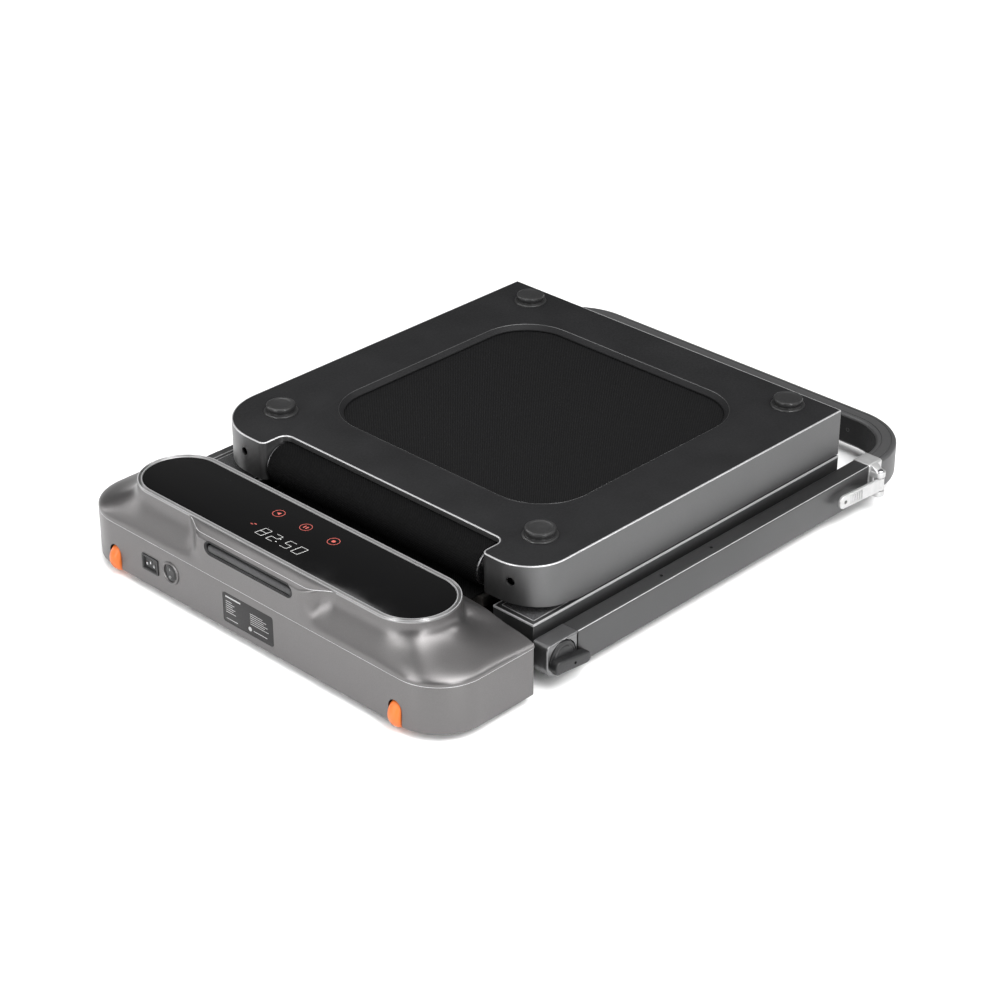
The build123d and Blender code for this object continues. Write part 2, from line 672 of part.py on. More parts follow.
def bracket():
    """The cast end block of an upright, with two ears for the lever's pin."""
    x0, x1 = TUBE_X - TUBE_W / 2 - 1, TUBE_X + TUBE_W / 2 + 2
    z0, z1 = TUBE_Z - TUBE_H / 2 - 1, TUBE_Z + TUBE_H / 2 + 1
    body = block(x0, x1, TUBE_END, BRACKET_END, z0, z1)
    body = fillet(body.edges().filter_by(Axis.Y), 3)
    body -= block(TUBE_X - CORE_W / 2 - 0.6, TUBE_X + CORE_W / 2 + 0.6, 840, 880,
                  TUBE_Z - CORE_H / 2 - 0.6, TUBE_Z + CORE_H / 2 + 0.6)
    for low, high in ((21.0, 29.4), (50.6, 59.0)):
        ear = rod_z(LEVER_PIN_X, LEVER_PIN_Y, low, high, 7.5)
        ear += block(x1 - 3, LEVER_PIN_X, LEVER_PIN_Y - 4, LEVER_PIN_Y + 7.5, low, high)
        body += ear
    return body - rod_z(LEVER_PIN_X, LEVER_PIN_Y, 10, 70, 3)


def lever_pin():
    pin = rod_z(LEVER_PIN_X, LEVER_PIN_Y, 19.5, 60.5, 3)
    return pin + rod_z(LEVER_PIN_X, LEVER_PIN_Y, 19.0, 21.0, 5) + rod_z(LEVER_PIN_X, LEVER_PIN_Y, 59.0, 61, 5)


def clamp_lever():
    """A flat lever with a ribbed, round tip and a lanyard hole."""
    hub = rod_z(LEVER_PIN_X, LEVER_PIN_Y, 30, 50, 7.2)
    arm_plan = make_face(Polyline((LEVER_PIN_X - 3, LEVER_PIN_Y - 2), (LEVER_PIN_X + 6.8, LEVER_PIN_Y - 1),
                                  (LEVER_PIN_X - 1, 768), (LEVER_PIN_X - 6, 768),
                                  (LEVER_PIN_X - 3, LEVER_PIN_Y - 2)))
    arm = slab(arm_plan, 30, 50)
    tip = rod_x(LEVER_PIN_X - 20, LEVER_PIN_X + 20, 778, 40, 10)
    arm = (arm & tip) + (arm & block(340, 380, 778, 860, 30, 50))
    ribs = [block(LEVER_PIN_X - 2, LEVER_PIN_X + 1.6, 790 + 5 * i, 792 + 5 * i, 31, 49) for i in range(5)]
    shape = hub + arm + ribs
    shape -= rod_z(LEVER_PIN_X, LEVER_PIN_Y, 20, 60, 3 + RUN_CLEAR)
    return shape - rod_x(LEVER_PIN_X - 20, LEVER_PIN_X + 20, 778, 40, 2.6)


def bow_plan(outset, x_end):
    """The U of the handlebar in plan, as a band about its centre line."""
    half = TUBE_X
    r = BAR_CORNER - BAR_W / 2
    centre_far = BAR_FAR - BAR_W / 2

    def outline(d):
        body = plan(-half - d, half + d, 400, centre_far + d, r + d)
        return body & plan(-500, 500, x_end, 1100)

    return outline(outset) - outline(-outset)


def handlebar_core():
    """The steel bow inside the covers, whose legs slide in the uprights."""
    inner = slab(bow_plan(CORE_W / 2 - CORE_WALL, CORE_START - 1), TUBE_Z - CORE_H / 2 + CORE_WALL,
                 TUBE_Z + CORE_H / 2 - CORE_WALL)
    return slab(bow_plan(CORE_W / 2, CORE_START), TUBE_Z - CORE_H / 2, TUBE_Z + CORE_H / 2) - inner


def handlebar_shell():
    """The moulded covers over the bow, before they are divided."""
    outer = slab(bow_plan(BAR_W / 2, BAR_START), TUBE_Z - BAR_H / 2, TUBE_Z + BAR_H / 2)
    return outer - slab(bow_plan(CORE_W / 2 + 0.3, BAR_START - 5), TUBE_Z - CORE_H / 2 - 0.3,
                        TUBE_Z + CORE_H / 2 + 0.3)


def handlebar_cover(side):
    """The moulded cover of one corner of the bow."""
    x0, x1 = (GRIP_HALF + 0.4, 400) if side > 0 else (-400, -GRIP_HALF - 0.4)
    piece = handlebar_shell() & block(x0, x1, 800, 1000, 0, 100)
    return piece - rod_y(side * 229, BAR_FAR - BAR_W - 2, BAR_FAR - BAR_W + 4, TUBE_Z + 1, 3)


def handlebar_grip():
    return handlebar_shell() & block(-GRIP_HALF, GRIP_HALF, 900, 1000, 0, 100)


def slide_bushes():
    """Plastic bushes fixed in the uprights' ends, which the legs of the bow slide through."""
    outer = block(TUBE_X - 10.9, TUBE_X + 10.9, 805, 844.5, TUBE_Z - 22.9, TUBE_Z + 22.9)
    outer = fillet(outer.edges().filter_by(Axis.Y), 1.5)
    inner = block(TUBE_X - CORE_W / 2 - 0.4, TUBE_X + CORE_W / 2 + 0.4, 800, 850,
                  TUBE_Z - CORE_H / 2 - 0.4, TUBE_Z + CORE_H / 2 + 0.4)
    return both_sides(outer - inner)


def make_all():
    save("lower_shell", lower_shell())
    save("upper_cover", upper_cover())
    save("grip_cup", grip_cup())
    save("display_bezel", display_bezel())
    save("display_glass", display_glass())
    save("display_board", *display_board())
    save("power_inlet", power_inlet())
    save("switch_bezel", switch_bezel())
    save("power_rocker", power_rocker())
    save("rating_label", rating_label())
    save("transport_wheel_left", transport_wheel(-1))
    save("transport_wheel_right", transport_wheel(1))
    save("wheel_mounts", *wheel_mounts())
    save("front_feet", *front_feet())
    save("motor", motor())
    save("motor_rotor", motor_rotor())
    save("motor_fan", motor_fan())
    save("drive_belt", drive_belt())
    save("controller", controller())
    save("front_roller", roller(FRONT_ROLLER_Y, FRONT_ROLLER_Z))
    save("roller_pulley", roller_pulley())
    save("front_axle", front_axle())
    save("front_axle_brackets", *front_axle_brackets())
    save("front_rail_left", front_rail(-DECK_HALF, RAIL_INNER_LEFT))
    save("front_rail_right", front_rail(RAIL_INNER_RIGHT, DECK_HALF))
    save("foot_pads", foot_pad(-DECK_HALF, RAIL_INNER_LEFT), foot_pad(RAIL_INNER_RIGHT, DECK_HALF))
    save("front_cross_members", *front_cross_members())
    save("front_board", front_board())
    save("walking_belt_front", walking_belt(FRONT_ROLLER_Y, FRONT_ROLLER_Z, 1))
    save("front_pan", front_pan())
    save("front_guide_bar", guide_bar(FRONT_ROLLER_Z, 1))
    save("pivot_bolts", *pivot_bolts())
    save("front_hinge_leaves", *front_hinge_leaves())
    save("hinge_pins", *both_sides(hinge_pin()))
    save("rear_hinge_leaves", *rear_hinge_leaves())
    save("rear_skirt", rear_skirt())
    save("rear_panel", rear_panel())
    save("window_rim", window_rim())
    save("rear_rails", rear_rail(-REAR_HALF, RAIL_INNER_LEFT), rear_rail(RAIL_INNER_RIGHT, REAR_HALF),
         nose_plate(-REAR_HALF, RECESS_LEFT - WALL - 0.2), nose_plate(RECESS_RIGHT + WALL + 0.2, REAR_HALF))
    save("rear_pads", rear_pad(-REAR_HALF + 9, RAIL_INNER_LEFT - 6),
         rear_pad(RAIL_INNER_RIGHT + 6, REAR_HALF - 9))
    save("rear_board", rear_board())
    save("walking_belt_rear", walking_belt(REAR_ROLLER_Y, REAR_ROLLER_Z, -1))
    save("rear_cross_members", *rear_cross_members())
    save("rear_roller", roller(REAR_ROLLER_Y, REAR_ROLLER_Z))
    save("rear_axle", rear_axle())
    save("rear_guide_bar", guide_bar(REAR_ROLLER_Z, -1))
    save("belt_adjusters", *adjusters())
    save("rear_feet", *rear_feet())
    save("uprights", *both_sides(upright()))
    save("upright_knuckles", *both_sides(upright_knuckle()))
    save("clamp_brackets", *both_sides(bracket()))
    save("lever_pins", *both_sides(lever_pin()))
    save("slide_bushes", *slide_bushes())
    save("clamp_lever_right", clamp_lever())
    save("clamp_lever_left", mirrored(clamp_lever()))
    save("lock_knob_right", lock_knob())
    save("lock_knob_left", mirrored(lock_knob()))
    save("handlebar_core", handlebar_core())
    save("handlebar_covers", handlebar_cover(1), handlebar_cover(-1))
    save("handlebar_grip", handlebar_grip())


make_all()
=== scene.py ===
import json
import math

import bmesh
import bpy
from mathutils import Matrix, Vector


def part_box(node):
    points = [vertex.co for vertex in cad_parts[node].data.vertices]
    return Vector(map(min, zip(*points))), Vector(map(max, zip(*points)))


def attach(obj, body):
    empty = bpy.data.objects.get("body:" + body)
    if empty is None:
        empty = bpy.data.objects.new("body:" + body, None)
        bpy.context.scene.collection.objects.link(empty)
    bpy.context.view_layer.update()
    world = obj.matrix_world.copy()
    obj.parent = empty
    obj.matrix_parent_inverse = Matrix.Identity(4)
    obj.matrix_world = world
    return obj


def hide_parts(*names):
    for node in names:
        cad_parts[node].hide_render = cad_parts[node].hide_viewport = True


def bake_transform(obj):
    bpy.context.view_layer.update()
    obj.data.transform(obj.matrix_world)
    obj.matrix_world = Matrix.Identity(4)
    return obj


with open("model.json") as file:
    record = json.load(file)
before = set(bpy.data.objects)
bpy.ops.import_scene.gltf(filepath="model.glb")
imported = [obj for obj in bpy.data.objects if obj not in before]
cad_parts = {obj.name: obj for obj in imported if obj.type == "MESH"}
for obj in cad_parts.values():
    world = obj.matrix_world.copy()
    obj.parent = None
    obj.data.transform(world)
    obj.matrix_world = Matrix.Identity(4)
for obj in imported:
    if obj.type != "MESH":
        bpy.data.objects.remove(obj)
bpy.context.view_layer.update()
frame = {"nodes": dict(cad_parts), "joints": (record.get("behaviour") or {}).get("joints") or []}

# A folding walking treadmill, folded. Metres, in the CAD frame: X across, Y from the motor housing
# to the fold, Z up. Lengths are written in millimetres times MM, except where a function says that it
# takes plain millimetres.
MM = 0.001
NODES = frame["nodes"]


class Box:
    """The lowest and highest corners of a CAD node, by name."""

    def __init__(self, node):
        low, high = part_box(node)
        self.x0, self.y0, self.z0 = low
        self.x1, self.y1, self.z1 = high
        self.cx, self.cy, self.cz = (low + high) / 2

    def face(self, axis, r, steps=8, margin=0.0):
        """Its outline seen along the y or z axis, inside a margin and with rounded corners."""
        low, high = (self.y0, self.y1) if axis == "z" else (self.z0, self.z1)
        return rounded(self.x0 + margin, self.x1 - margin, low + margin, high - margin, r, steps)


def pivot(joint):
    """The (y, z) place of a joint's axis, which runs along X."""
    return [j for j in frame["joints"] if j["name"] == joint][0]["pos_m"][1:]


# ---------------------------------------------------------------- meshes
SHARP = math.radians(32)
SAME_POINT = 1e-9
MITRE_LIMIT = 0.35


def add_object(name, data):
    added = bpy.data.objects.new(name, data)
    bpy.context.scene.collection.objects.link(added)
    return added


def new_object(name, verts, faces):
    mesh = bpy.data.meshes.new(name)
    mesh.from_pydata([tuple(v) for v in verts], [], faces)
    mesh.update()
    return add_object(name, mesh)


def shade(mesh):
    """Smooth shading, with sharp edges where faces meet at more than the SHARP angle."""
    mesh.shade_smooth()
    mesh.set_sharp_from_angle(angle=SHARP)


def clean(piece):
    """Merged points, consistent outward normals and shading."""
    bm = bmesh.new()
    bm.from_mesh(piece.data)
    bmesh.ops.remove_doubles(bm, verts=bm.verts, dist=1e-7)
    bmesh.ops.recalc_face_normals(bm, faces=bm.faces)
    bm.to_mesh(piece.data)
    bm.free()
    shade(piece.data)
    return piece


def place(point, level, axis):
    """A 2-D point and a level along an axis, as a point in space."""
    a, b = point
    return {"x": (level, a, b), "y": (a, level, b), "z": (a, b, level)}[axis]


def loft(name, loops, closed=False):
    """Quads between loops of equal length, capped at both ends. closed joins the last loop to the
    first instead."""
    n, rows = len(loops[0]), len(loops)
    verts = [v for loop in loops for v in loop]
    faces = []
    for i in range(rows if closed else rows - 1):
        j = (i + 1) % rows
        for k in range(n):
            m = (k + 1) % n
            faces.append((i * n + k, i * n + m, j * n + m, j * n + k))
    if not closed:
        faces.append(tuple(range(n)))
        faces.append(tuple(range((rows - 1) * n, rows * n)))
    return clean(new_object(name, verts, faces))


def arc(cx, cy, r, a0, a1, steps):
    """Points on an arc, angles in degrees."""
    turns = [math.radians(a0 + (a1 - a0) * i / steps) for i in range(steps + 1)]
    return [(cx + r * math.cos(a), cy + r * math.sin(a)) for a in turns]


def rounded(x0, x1, y0, y1, r, steps=8):
    """A rectangle with rounded corners; r is one radius, or one for each corner from (x0, y0)."""
    r0, r1, r2, r3 = r if isinstance(r, tuple) else (r, r, r, r)
    return (arc(x0 + r0, y0 + r0, r0, 180, 270, steps) + arc(x1 - r1, y0 + r1, r1, 270, 360, steps)
            + arc(x1 - r2, y1 - r2, r2, 0, 90, steps) + arc(x0 + r3, y1 - r3, r3, 90, 180, steps))


def rect(cx, cy, half_x, half_y, r, steps=3):
    """A rounded rectangle about a centre. Its half sides and radius are in millimetres."""
    half_x, half_y = half_x * MM, half_y * MM
    return rounded(cx - half_x, cx + half_x, cy - half_y, cy + half_y, r * MM, steps)


def circle(cx, cy, r, steps=40):
    return arc(cx, cy, r, 0, 360 - 360 / steps, steps - 1)


def filleted(corners, steps=10):
    """A closed outline from (x, y, radius) corners."""
    out = []
    n = len(corners)
    for i, (x, y, r) in enumerate(corners):
        p = Vector((x, y))
        a = (Vector(corners[i - 1][:2]) - p).normalized()
        b = (Vector(corners[(i + 1) % n][:2]) - p).normalized()
        if r <= 0:
            out.append((x, y))
            continue
        half = a.angle(b) / 2
        reach = r / math.tan(half)
        centre = p + (a + b).normalized() * (r / math.sin(half))
        start = p + a * reach - centre
        end = p + b * reach - centre
        a0 = math.atan2(start.y, start.x)
        turn = (math.atan2(end.y, end.x) - a0 + math.pi) % (2 * math.pi) - math.pi
        for k in range(steps + 1):
            t = a0 + turn * k / steps
            out.append((centre.x + r * math.cos(t), centre.y + r * math.sin(t)))
    return out


def inset(outline, d):
    """The outline moved inwards by d; outwards when d is negative. Counter-clockwise outlines."""
    out = []
    n = len(outline)
    points = [Vector(p) for p in outline]
    for i in range(n):
        a, p, b = points[i - 1], points[i], points[(i + 1) % n]
        e, f = p - a, b - p
        if e.length < SAME_POINT:
            e = p - points[i - 2]
        if f.length < SAME_POINT:
            f = points[(i + 2) % n] - p
        e.normalize()
        f.normalize()
        before, after = Vector((-e.y, e.x)), Vector((-f.y, f.x))
        middle = before + after
        if middle.length < 1e-6:
            middle = before.copy()
        middle.normalize()
        out.append(tuple(p + middle * (d / max(MITRE_LIMIT, middle.dot(before)))))
    return out


def quarter(r, steps):
    """(inset, rise) pairs of a quarter round, from the side face to the end face; one if r is 0."""
    if not r:
        return [(0, 0)]
    turns = [math.pi / 2 * i / steps for i in range(steps + 1)]
    return [(r * (1 - math.cos(a)), r * math.sin(a)) for a in turns]


def at(level, *steps):
    """(inset or radius, height) pairs in millimetres, as a profile in metres above a level."""
    return [(d * MM, level + h * MM) for d, h in steps]


def stack(name, outline, profile, axis, closed=False):
    """A profile of (inset, level) pairs of an outline, capped at both ends unless it is closed."""
    return loft(name, [[place(p, level, axis) for p in inset(outline, d)] for d, level in profile], closed)


def prism(name, outline, low, high, axis="z", soft=0.0, steps=3):
    """An outline extruded along an axis. soft is the radius of the quarter round at its ends, or one
    radius for each end."""
    r_low, r_high = soft if isinstance(soft, tuple) else (soft, soft)
    profile = [(d, low + r_low - rise) for d, rise in reversed(quarter(r_low, steps))]
    profile += [(d, high - r_high + rise) for d, rise in quarter(r_high, steps)]
    return stack(name, outline, profile, axis)


def ring(name, outline, profile, axis="z"):
    """A closed profile of (inset, level) pairs swept round an outline."""
    return stack(name, outline, profile, axis, True)


def lathe(name, profile, centre, axis="z", steps=56):
    """A profile of (radius, level) pairs turned about an axis through centre, capped at both ends."""
    return loft(name, [[place(p, level, axis) for p in circle(*centre, max(r, 1e-5), steps)]
                       for r, level in profile])


def cut(piece, cutter):
    """Takes the cutter out of the piece."""
    m = piece.modifiers.new("cut", "BOOLEAN")
    m.operation = "DIFFERENCE"
    m.solver = "EXACT"
    m.object = cutter
    bpy.context.view_layer.objects.active = piece
    bpy.ops.object.modifier_apply(modifier=m.name)
    bpy.data.objects.remove(cutter)
    if not piece.data.polygons:
        raise RuntimeError(piece.name + ": the cut left nothing")
    clean(piece)


def punch(piece, outline, low, high, axis="z"):
    """A straight hole with an outline's shape, between two levels along an axis."""
    cut(piece, prism("cutter", outline, low, high, axis))


def cut_block(piece, x0, x1, y0, y1, z0, z1):
    """A box-shaped notch."""
    loops = [[(x0, y0, z), (x1, y0, z), (x1, y1, z), (x0, y1, z)] for z in (z0, z1)]
    cut(piece, loft("cutter", loops))


def join(name, pieces):
    """Several meshes as one piece."""
    bm = bmesh.new()
    for p in pieces:
        bm.from_mesh(p.data)
    mesh = bpy.data.meshes.new(name)
    bm.to_mesh(mesh)
    bm.free()
    for p in pieces:
        bpy.data.objects.remove(p)
    shade(mesh)
    return add_object(name, mesh)


def mirror_x(piece, name):
    """A mirrored copy across the middle plane."""
    mesh = piece.data.copy()
    for v in mesh.vertices:
        v.co.x = -v.co.x
    mesh.flip_normals()
    return add_object(name, mesh)


def sweep(name, path, section):
    """A closed section carried along an open path of (point, sideways) pairs in the XY plane."""
    return loft(name, [[(x + nx * s, y + ny * s, z) for s, z in section] for (x, y), (nx, ny) in path])


# ---------------------------------------------------------------- materials
class Nodes:
    """A material with a Principled shader and short calls for the nodes that feed it."""

    def __init__(self, name, color, metallic, rough, **sockets):
        self.mat = bpy.data.materials.new(name)
        self.mat.use_nodes = True
        self.tree = self.mat.node_tree
        self.shader = self.tree.nodes["Principled BSDF"]
        self.color = color
        sockets.update(Base_Color=(*color, 1), Metallic=metallic, Roughness=rough)
        for key, value in sockets.items():
            self.shader.inputs[key.replace("_", " ")].default_value = value
        self.coord = self.add("ShaderNodeTexCoord").outputs["Object"]

    def feed(self, socket, value):
        """Sets a socket, or links it where the value is another node's output."""
        if isinstance(value, bpy.types.NodeSocket):
            self.tree.links.new(value, socket)
        else:
            socket.default_value = value

    def add(self, kind, inputs=None, **settings):
        node = self.tree.nodes.new(kind)
        for key, value in settings.items():
            setattr(node, key, value)
        for key, value in (inputs or {}).items():
            self.feed(node.inputs[key], value)
        return node

    def noise(self, scale, detail=3, stretch=None):
        vector = self.coord
        if stretch:
            vector = self.add("ShaderNodeMapping", {"Scale": stretch, "Vector": vector}).outputs["Vector"]
        inputs = {"Scale": scale, "Detail": detail, "Vector": vector}
        return self.add("ShaderNodeTexNoise", inputs).outputs["Fac"]

    def ramp(self, source, low, high, a=0.3, b=0.7):
        inputs = {"From Min": a, "From Max": b, "To Min": low, "To Max": high, "Value": source}
        return self.add("ShaderNodeMapRange", inputs).outputs["Result"]

    def tint(self, source, dark, light):
        """The base colour runs between two colours."""
        inputs = {"A": (*dark, 1), "B": (*light, 1), "Factor": source}
        mix = self.add("ShaderNodeMix", inputs, data_type="RGBA")
        self.feed(self.shader.inputs["Base Color"], mix.outputs["Result"])

    def mottle(self, source, dark, light, a=0.3, b=0.7):
        """The base colour runs between two multiples of itself."""
        dark, light = lighter(self.color, dark), lighter(self.color, light)
        self.tint(self.ramp(source, 0, 1, a, b), dark, light)

    def rough(self, source):
        self.feed(self.shader.inputs["Roughness"], source)

    def bump(self, source, distance, strength=1.0):
        node = self.add("ShaderNodeBump", {"Distance": distance, "Strength": strength, "Height": source})
        self.feed(self.shader.inputs["Normal"], node.outputs["Normal"])

    def math(self, operation, a, b):
        return self.add("ShaderNodeMath", {0: a, 1: b}, operation=operation).outputs[0]

    def split(self):
        return self.add("ShaderNodeSeparateXYZ", {0: self.coord}).outputs

    def wave(self, source, pitch):
        """A sine of a coordinate with a given pitch, from 0 to 1."""
        turned = self.math("MULTIPLY", source, 2 * math.pi / pitch)
        sine = self.math("SINE", turned, 0)
        return self.math("MULTIPLY_ADD", sine, 0.5)


def lighter(color, k):
    return tuple(min(1.0, c * k) for c in color)


def paint(name, color, rough=0.34, metallic=0.9):
    """Satin metallic paint: fine flake, slight mottling and faint handling marks."""
    m = Nodes(name, color, metallic, rough)
    m.mottle(m.noise(1400, 2), 0.93, 1.07, 0.35, 0.65)
    m.rough(m.ramp(m.noise(9, 4), rough - 0.03, rough + 0.04))
    m.bump(m.noise(2600, 2), 0.00002, 0.35)
    return m.mat


def plastic(name, color, rough=0.5, grain=900, depth=0.00006, shine=0.35):
    """Moulded plastic with a spark-eroded grain."""
    m = Nodes(name, color, 0.0, rough, Specular_IOR_Level=shine)
    m.mottle(m.noise(14, 4), 0.86, 1.16)
    m.rough(m.ramp(m.noise(grain / 3, 3), rough - 0.07, rough + 0.07))
    m.bump(m.noise(grain, 3), depth, 0.6)
    return m.mat


def steel(name, color, rough=0.28, stretch=(1, 40, 40)):
    """Turned or brushed steel, with lines along the part."""
    m = Nodes(name, color, 1.0, rough)
    lines = m.noise(60, 4, stretch)
    m.mottle(lines, 0.82, 1.12)
    m.rough(m.ramp(lines, rough - 0.08, rough + 0.1))
    m.bump(lines, 0.00002, 0.4)
    return m.mat


def cast(name, color):
    """Polished cast aluminium with soft pits."""
    m = Nodes(name, color, 0.6, 0.35)
    m.mottle(m.noise(120, 5), 0.93, 1.05)
    m.rough(m.ramp(m.noise(70, 4), 0.3, 0.4))
    m.bump(m.noise(420, 4), 0.00006, 0.3)
    return m.mat


def gloss(name, color):
    """Black glass with a trace of smear."""
    m = Nodes(name, color, 0.0, 0.09, Specular_IOR_Level=0.2)
    m.rough(m.ramp(m.noise(22, 4), 0.06, 0.16))
    m.mottle(m.noise(5, 2), 1, 1.25)
    return m.mat


def belt_weave(name, color, pitch, shine):
    """Rubber belt with a woven, dotted face."""
    m = Nodes(name, color, 0.0, 0.62, Specular_IOR_Level=shine)
    x, y, z = m.split()
    along = m.math("ADD", y, z)
    one_way, other_way = m.math("ADD", x, along), m.math("SUBTRACT", x, along)
    dots = m.math("MULTIPLY", m.wave(one_way, pitch), m.wave(other_way, pitch))
    m.mottle(dots, 0.55, 2.6, 0.1, 0.7)
    m.rough(m.ramp(m.noise(60, 4), 0.55, 0.72))
    m.bump(dots, 0.0006, 0.7)
    return m.mat


def pad_grip(name, color):
    """Anti-slip rubber: small raised cells."""
    m = Nodes(name, color, 0.0, 0.75)
    inputs = {"Scale": 340, "Vector": m.coord}
    cells = m.add("ShaderNodeTexVoronoi", inputs, feature="DISTANCE_TO_EDGE")
    height = m.ramp(cells.outputs["Distance"], 0, 1, 0.02, 0.3)
    m.tint(height, lighter(color, 0.6), lighter(color, 2.2))
    m.bump(height, 0.0005, 0.8)
    return m.mat


def wood_board(name, color):
    m = Nodes(name, color, 0.0, 0.55)
    grain = m.noise(9, 6, (1, 14, 14))
    m.mottle(grain, 0.6, 1.6)
    m.bump(grain, 0.0001, 0.5)
    return m.mat


def lit(name, color, strength):
    """A lit sign behind glass, slightly uneven."""
    m = Nodes(name, color, 0.0, 0.4, Emission_Strength=strength)
    m.mottle(m.noise(900, 2), 0.8, 1)
    m.shader.inputs["Emission Color"].default_value = (*color, 1)
    return m.mat


HOUSING = paint("housing_paint", (0.122, 0.118, 0.118), 0.38)
LIP = paint("lip_paint", (0.24, 0.238, 0.238), 0.3)
SKIRT = paint("skirt_paint", (0.102, 0.102, 0.103), 0.4)
RAIL = paint("rail_paint", (0.075, 0.075, 0.076), 0.42)
UPRIGHT = paint("upright_paint", (0.076, 0.076, 0.077), 0.4)
KNUCKLE = paint("knuckle_paint", (0.15, 0.15, 0.152), 0.36)
# One bright paint for the thin beads and rings that are painted highlights along edges (parting seam, boss
# crest, lip lines, skirt top, upright edges), and for the rails' edge rings, which are partly trim and partly
# painted highlight.
TRIM_AND_HIGHLIGHT = paint("bright_trim", (0.42, 0.42, 0.425), 0.35, 0.5)
STEEL = steel("turned_steel", (0.5, 0.5, 0.51))
CAST = cast("cast_aluminium", (0.43, 0.43, 0.43))
GLASS = gloss("black_glass", (0.002, 0.002, 0.0021))
PANEL = plastic("panel_plastic", (0.0105, 0.0105, 0.011), 0.55, 1300, 0.00004, 0.1)
BLACK = plastic("black_plastic", (0.009, 0.009, 0.0095), 0.42)
SOFT = plastic("soft_rubber", (0.012, 0.012, 0.0125), 0.6, 700)
GRIP = plastic("grip_rubber", (0.035, 0.035, 0.036), 0.6, 700)
FOOT = plastic("foot_rubber", (0.013, 0.013, 0.0132), 0.38, 600, 0.00008, 0.5)
BOW = paint("bow_texture", (0.075, 0.075, 0.076), 0.44, 0.5)
ORANGE = plastic("orange_wheel", (0.52, 0.115, 0.018), 0.42, 500, 0.00005)
LABEL = plastic("label_film", (0.012, 0.0115, 0.012), 0.4, 1500, 0.00001, 0.2)
PRINT = plastic("label_print", (0.32, 0.32, 0.32), 0.5, 1500, 0.00001)
CIRCUIT = plastic("circuit_board", (0.02, 0.12, 0.05), 0.4, 400)
# The same weave twice: the belt halves and fold get a darker copy, which is painted shade for the belt round
# the rollers; the weave under the window keeps the lighter tone.
SHADED_BELT = belt_weave("belt_weave", (0.0028, 0.0028, 0.0029), 3.4 * MM, 0.04)
WEAVE = belt_weave("window_weave", (0.004, 0.004, 0.0042), 3.4 * MM, 0.09)
CORE = steel("core_tube", (0.16, 0.16, 0.165), 0.34, (40, 1, 40))
PAD = pad_grip("pad_grip", (0.02, 0.02, 0.021))
WOOD = wood_board("deck_board", (0.014, 0.0125, 0.011))
BLACK_STEEL = paint("black_steel", (0.035, 0.035, 0.036), 0.45, 0.6)
RED_SIGN = lit("red_sign", (0.42, 0.085, 0.07), 0.22)
WHITE_SIGN = lit("white_sign", (0.55, 0.55, 0.54), 0.3)


# ---------------------------------------------------------------- declaring pieces
def declare(piece, material, body, slot, *nodes):
    """Material, body and the CAD nodes that a piece stands for; slot is not used."""
    piece.data.materials.clear()
    piece.data.materials.append(material)
    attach(piece, body)
    if nodes:
        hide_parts(*nodes)
    return piece


def other_side(name):
    return name.replace("_right", "_left")


def declare_pair(piece, material, body, slot, *nodes):
    """Declares a right-hand piece and its mirrored copy, whose names say left instead of right. Where
    one node serves both sides, the right-hand piece replaces it."""
    twin = mirror_x(piece, other_side(piece.name))
    declare(piece, material, body, slot, *nodes)
    declare(twin, material, other_side(body), slot, *[other_side(n) for n in nodes if other_side(n) != n])


def repaint(material, *nodes):
    """A carried-over CAD node gets a better material."""
    for node in nodes:
        target = NODES[node].data
        target.materials.clear()
        target.materials.append(material)


# ---------------------------------------------------------------- motor housing
SHELL = Box("lower_shell")
GLASS_BOX = Box("display_glass")
CORNER = 70 * MM
CORNER_STEPS = 24
COVER_REAR = SHELL.y0 + 187 * MM
BOSS = (-94 * MM, 105 * MM)
BOSS_BLEND = 28 * MM
FRONT = SHELL.y0
AHEAD = FRONT - 5 * MM
PAST_SIDE = 0.4
PAST_TOP = 0.2
SEAM = 0.7 * MM


def lower_shell():
    wheel, inlet = Box("transport_wheel_right"), Box("power_inlet")
    switch, label = Box("switch_bezel"), Box("rating_label")
    rear, wall, half = 2.2 * MM, 3 * MM, 11.5 * MM
    outline = SHELL.face("z", (CORNER, CORNER, rear, rear), CORNER_STEPS)
    shell = prism("housing_lower_shell", outline, SHELL.z0, SHELL.z1, soft=(2 * MM, 0.8 * MM), steps=5)
    inner, floor = CORNER - wall, SHELL.z0 + wall
    cavity = SHELL.face("z", (inner, inner, MM, MM), CORNER_STEPS, wall)
    punch(shell, cavity, floor, SHELL.z1 + 5 * MM)
    mouth = 311 * MM
    cut_block(shell, -mouth, mouth, SHELL.y1 - 14 * MM, SHELL.y1 + 6 * MM, floor, PAST_TOP)
    for x in (-wheel.cx, wheel.cx):
        slot = rounded(x - half, x + half, SHELL.z0 - 20 * MM, wheel.z1 + 0.5 * MM,
                       (0.5 * MM, 0.5 * MM, half, half))
        punch(shell, slot, AHEAD, FRONT + 37 * MM, "y")
    hole = rounded(inlet.x0 + 2.6 * MM, inlet.x1 - 2.6 * MM, inlet.z0 + 2.4 * MM, inlet.z1 - 2.4 * MM,
                   1.5 * MM)
    punch(shell, hole, AHEAD, FRONT + 8 * MM, "y")
    punch(shell, circle(switch.cx, switch.cz, 14.4 * MM), AHEAD, FRONT + 8 * MM, "y")
    punch(shell, label.face("y", 4 * MM, margin=-0.4 * MM), AHEAD, FRONT + 0.75 * MM, "y")
    declare(shell, HOUSING, "base", "housing_grey", "lower_shell")
    # A thin bright ring at the parting line: a painted highlight standing in for the light that the small
    # chamfers at the seam catch.
    top = SEAM / MM - 0.02
    seam_highlight = ring("parting_seam_highlight", outline,
                at(SHELL.z1, (0.12, 0.02), (0.12, top), (1.6, top), (1.6, 0.02)))
    declare(seam_highlight, TRIM_AND_HIGHLIGHT, "base", "silver_trim")


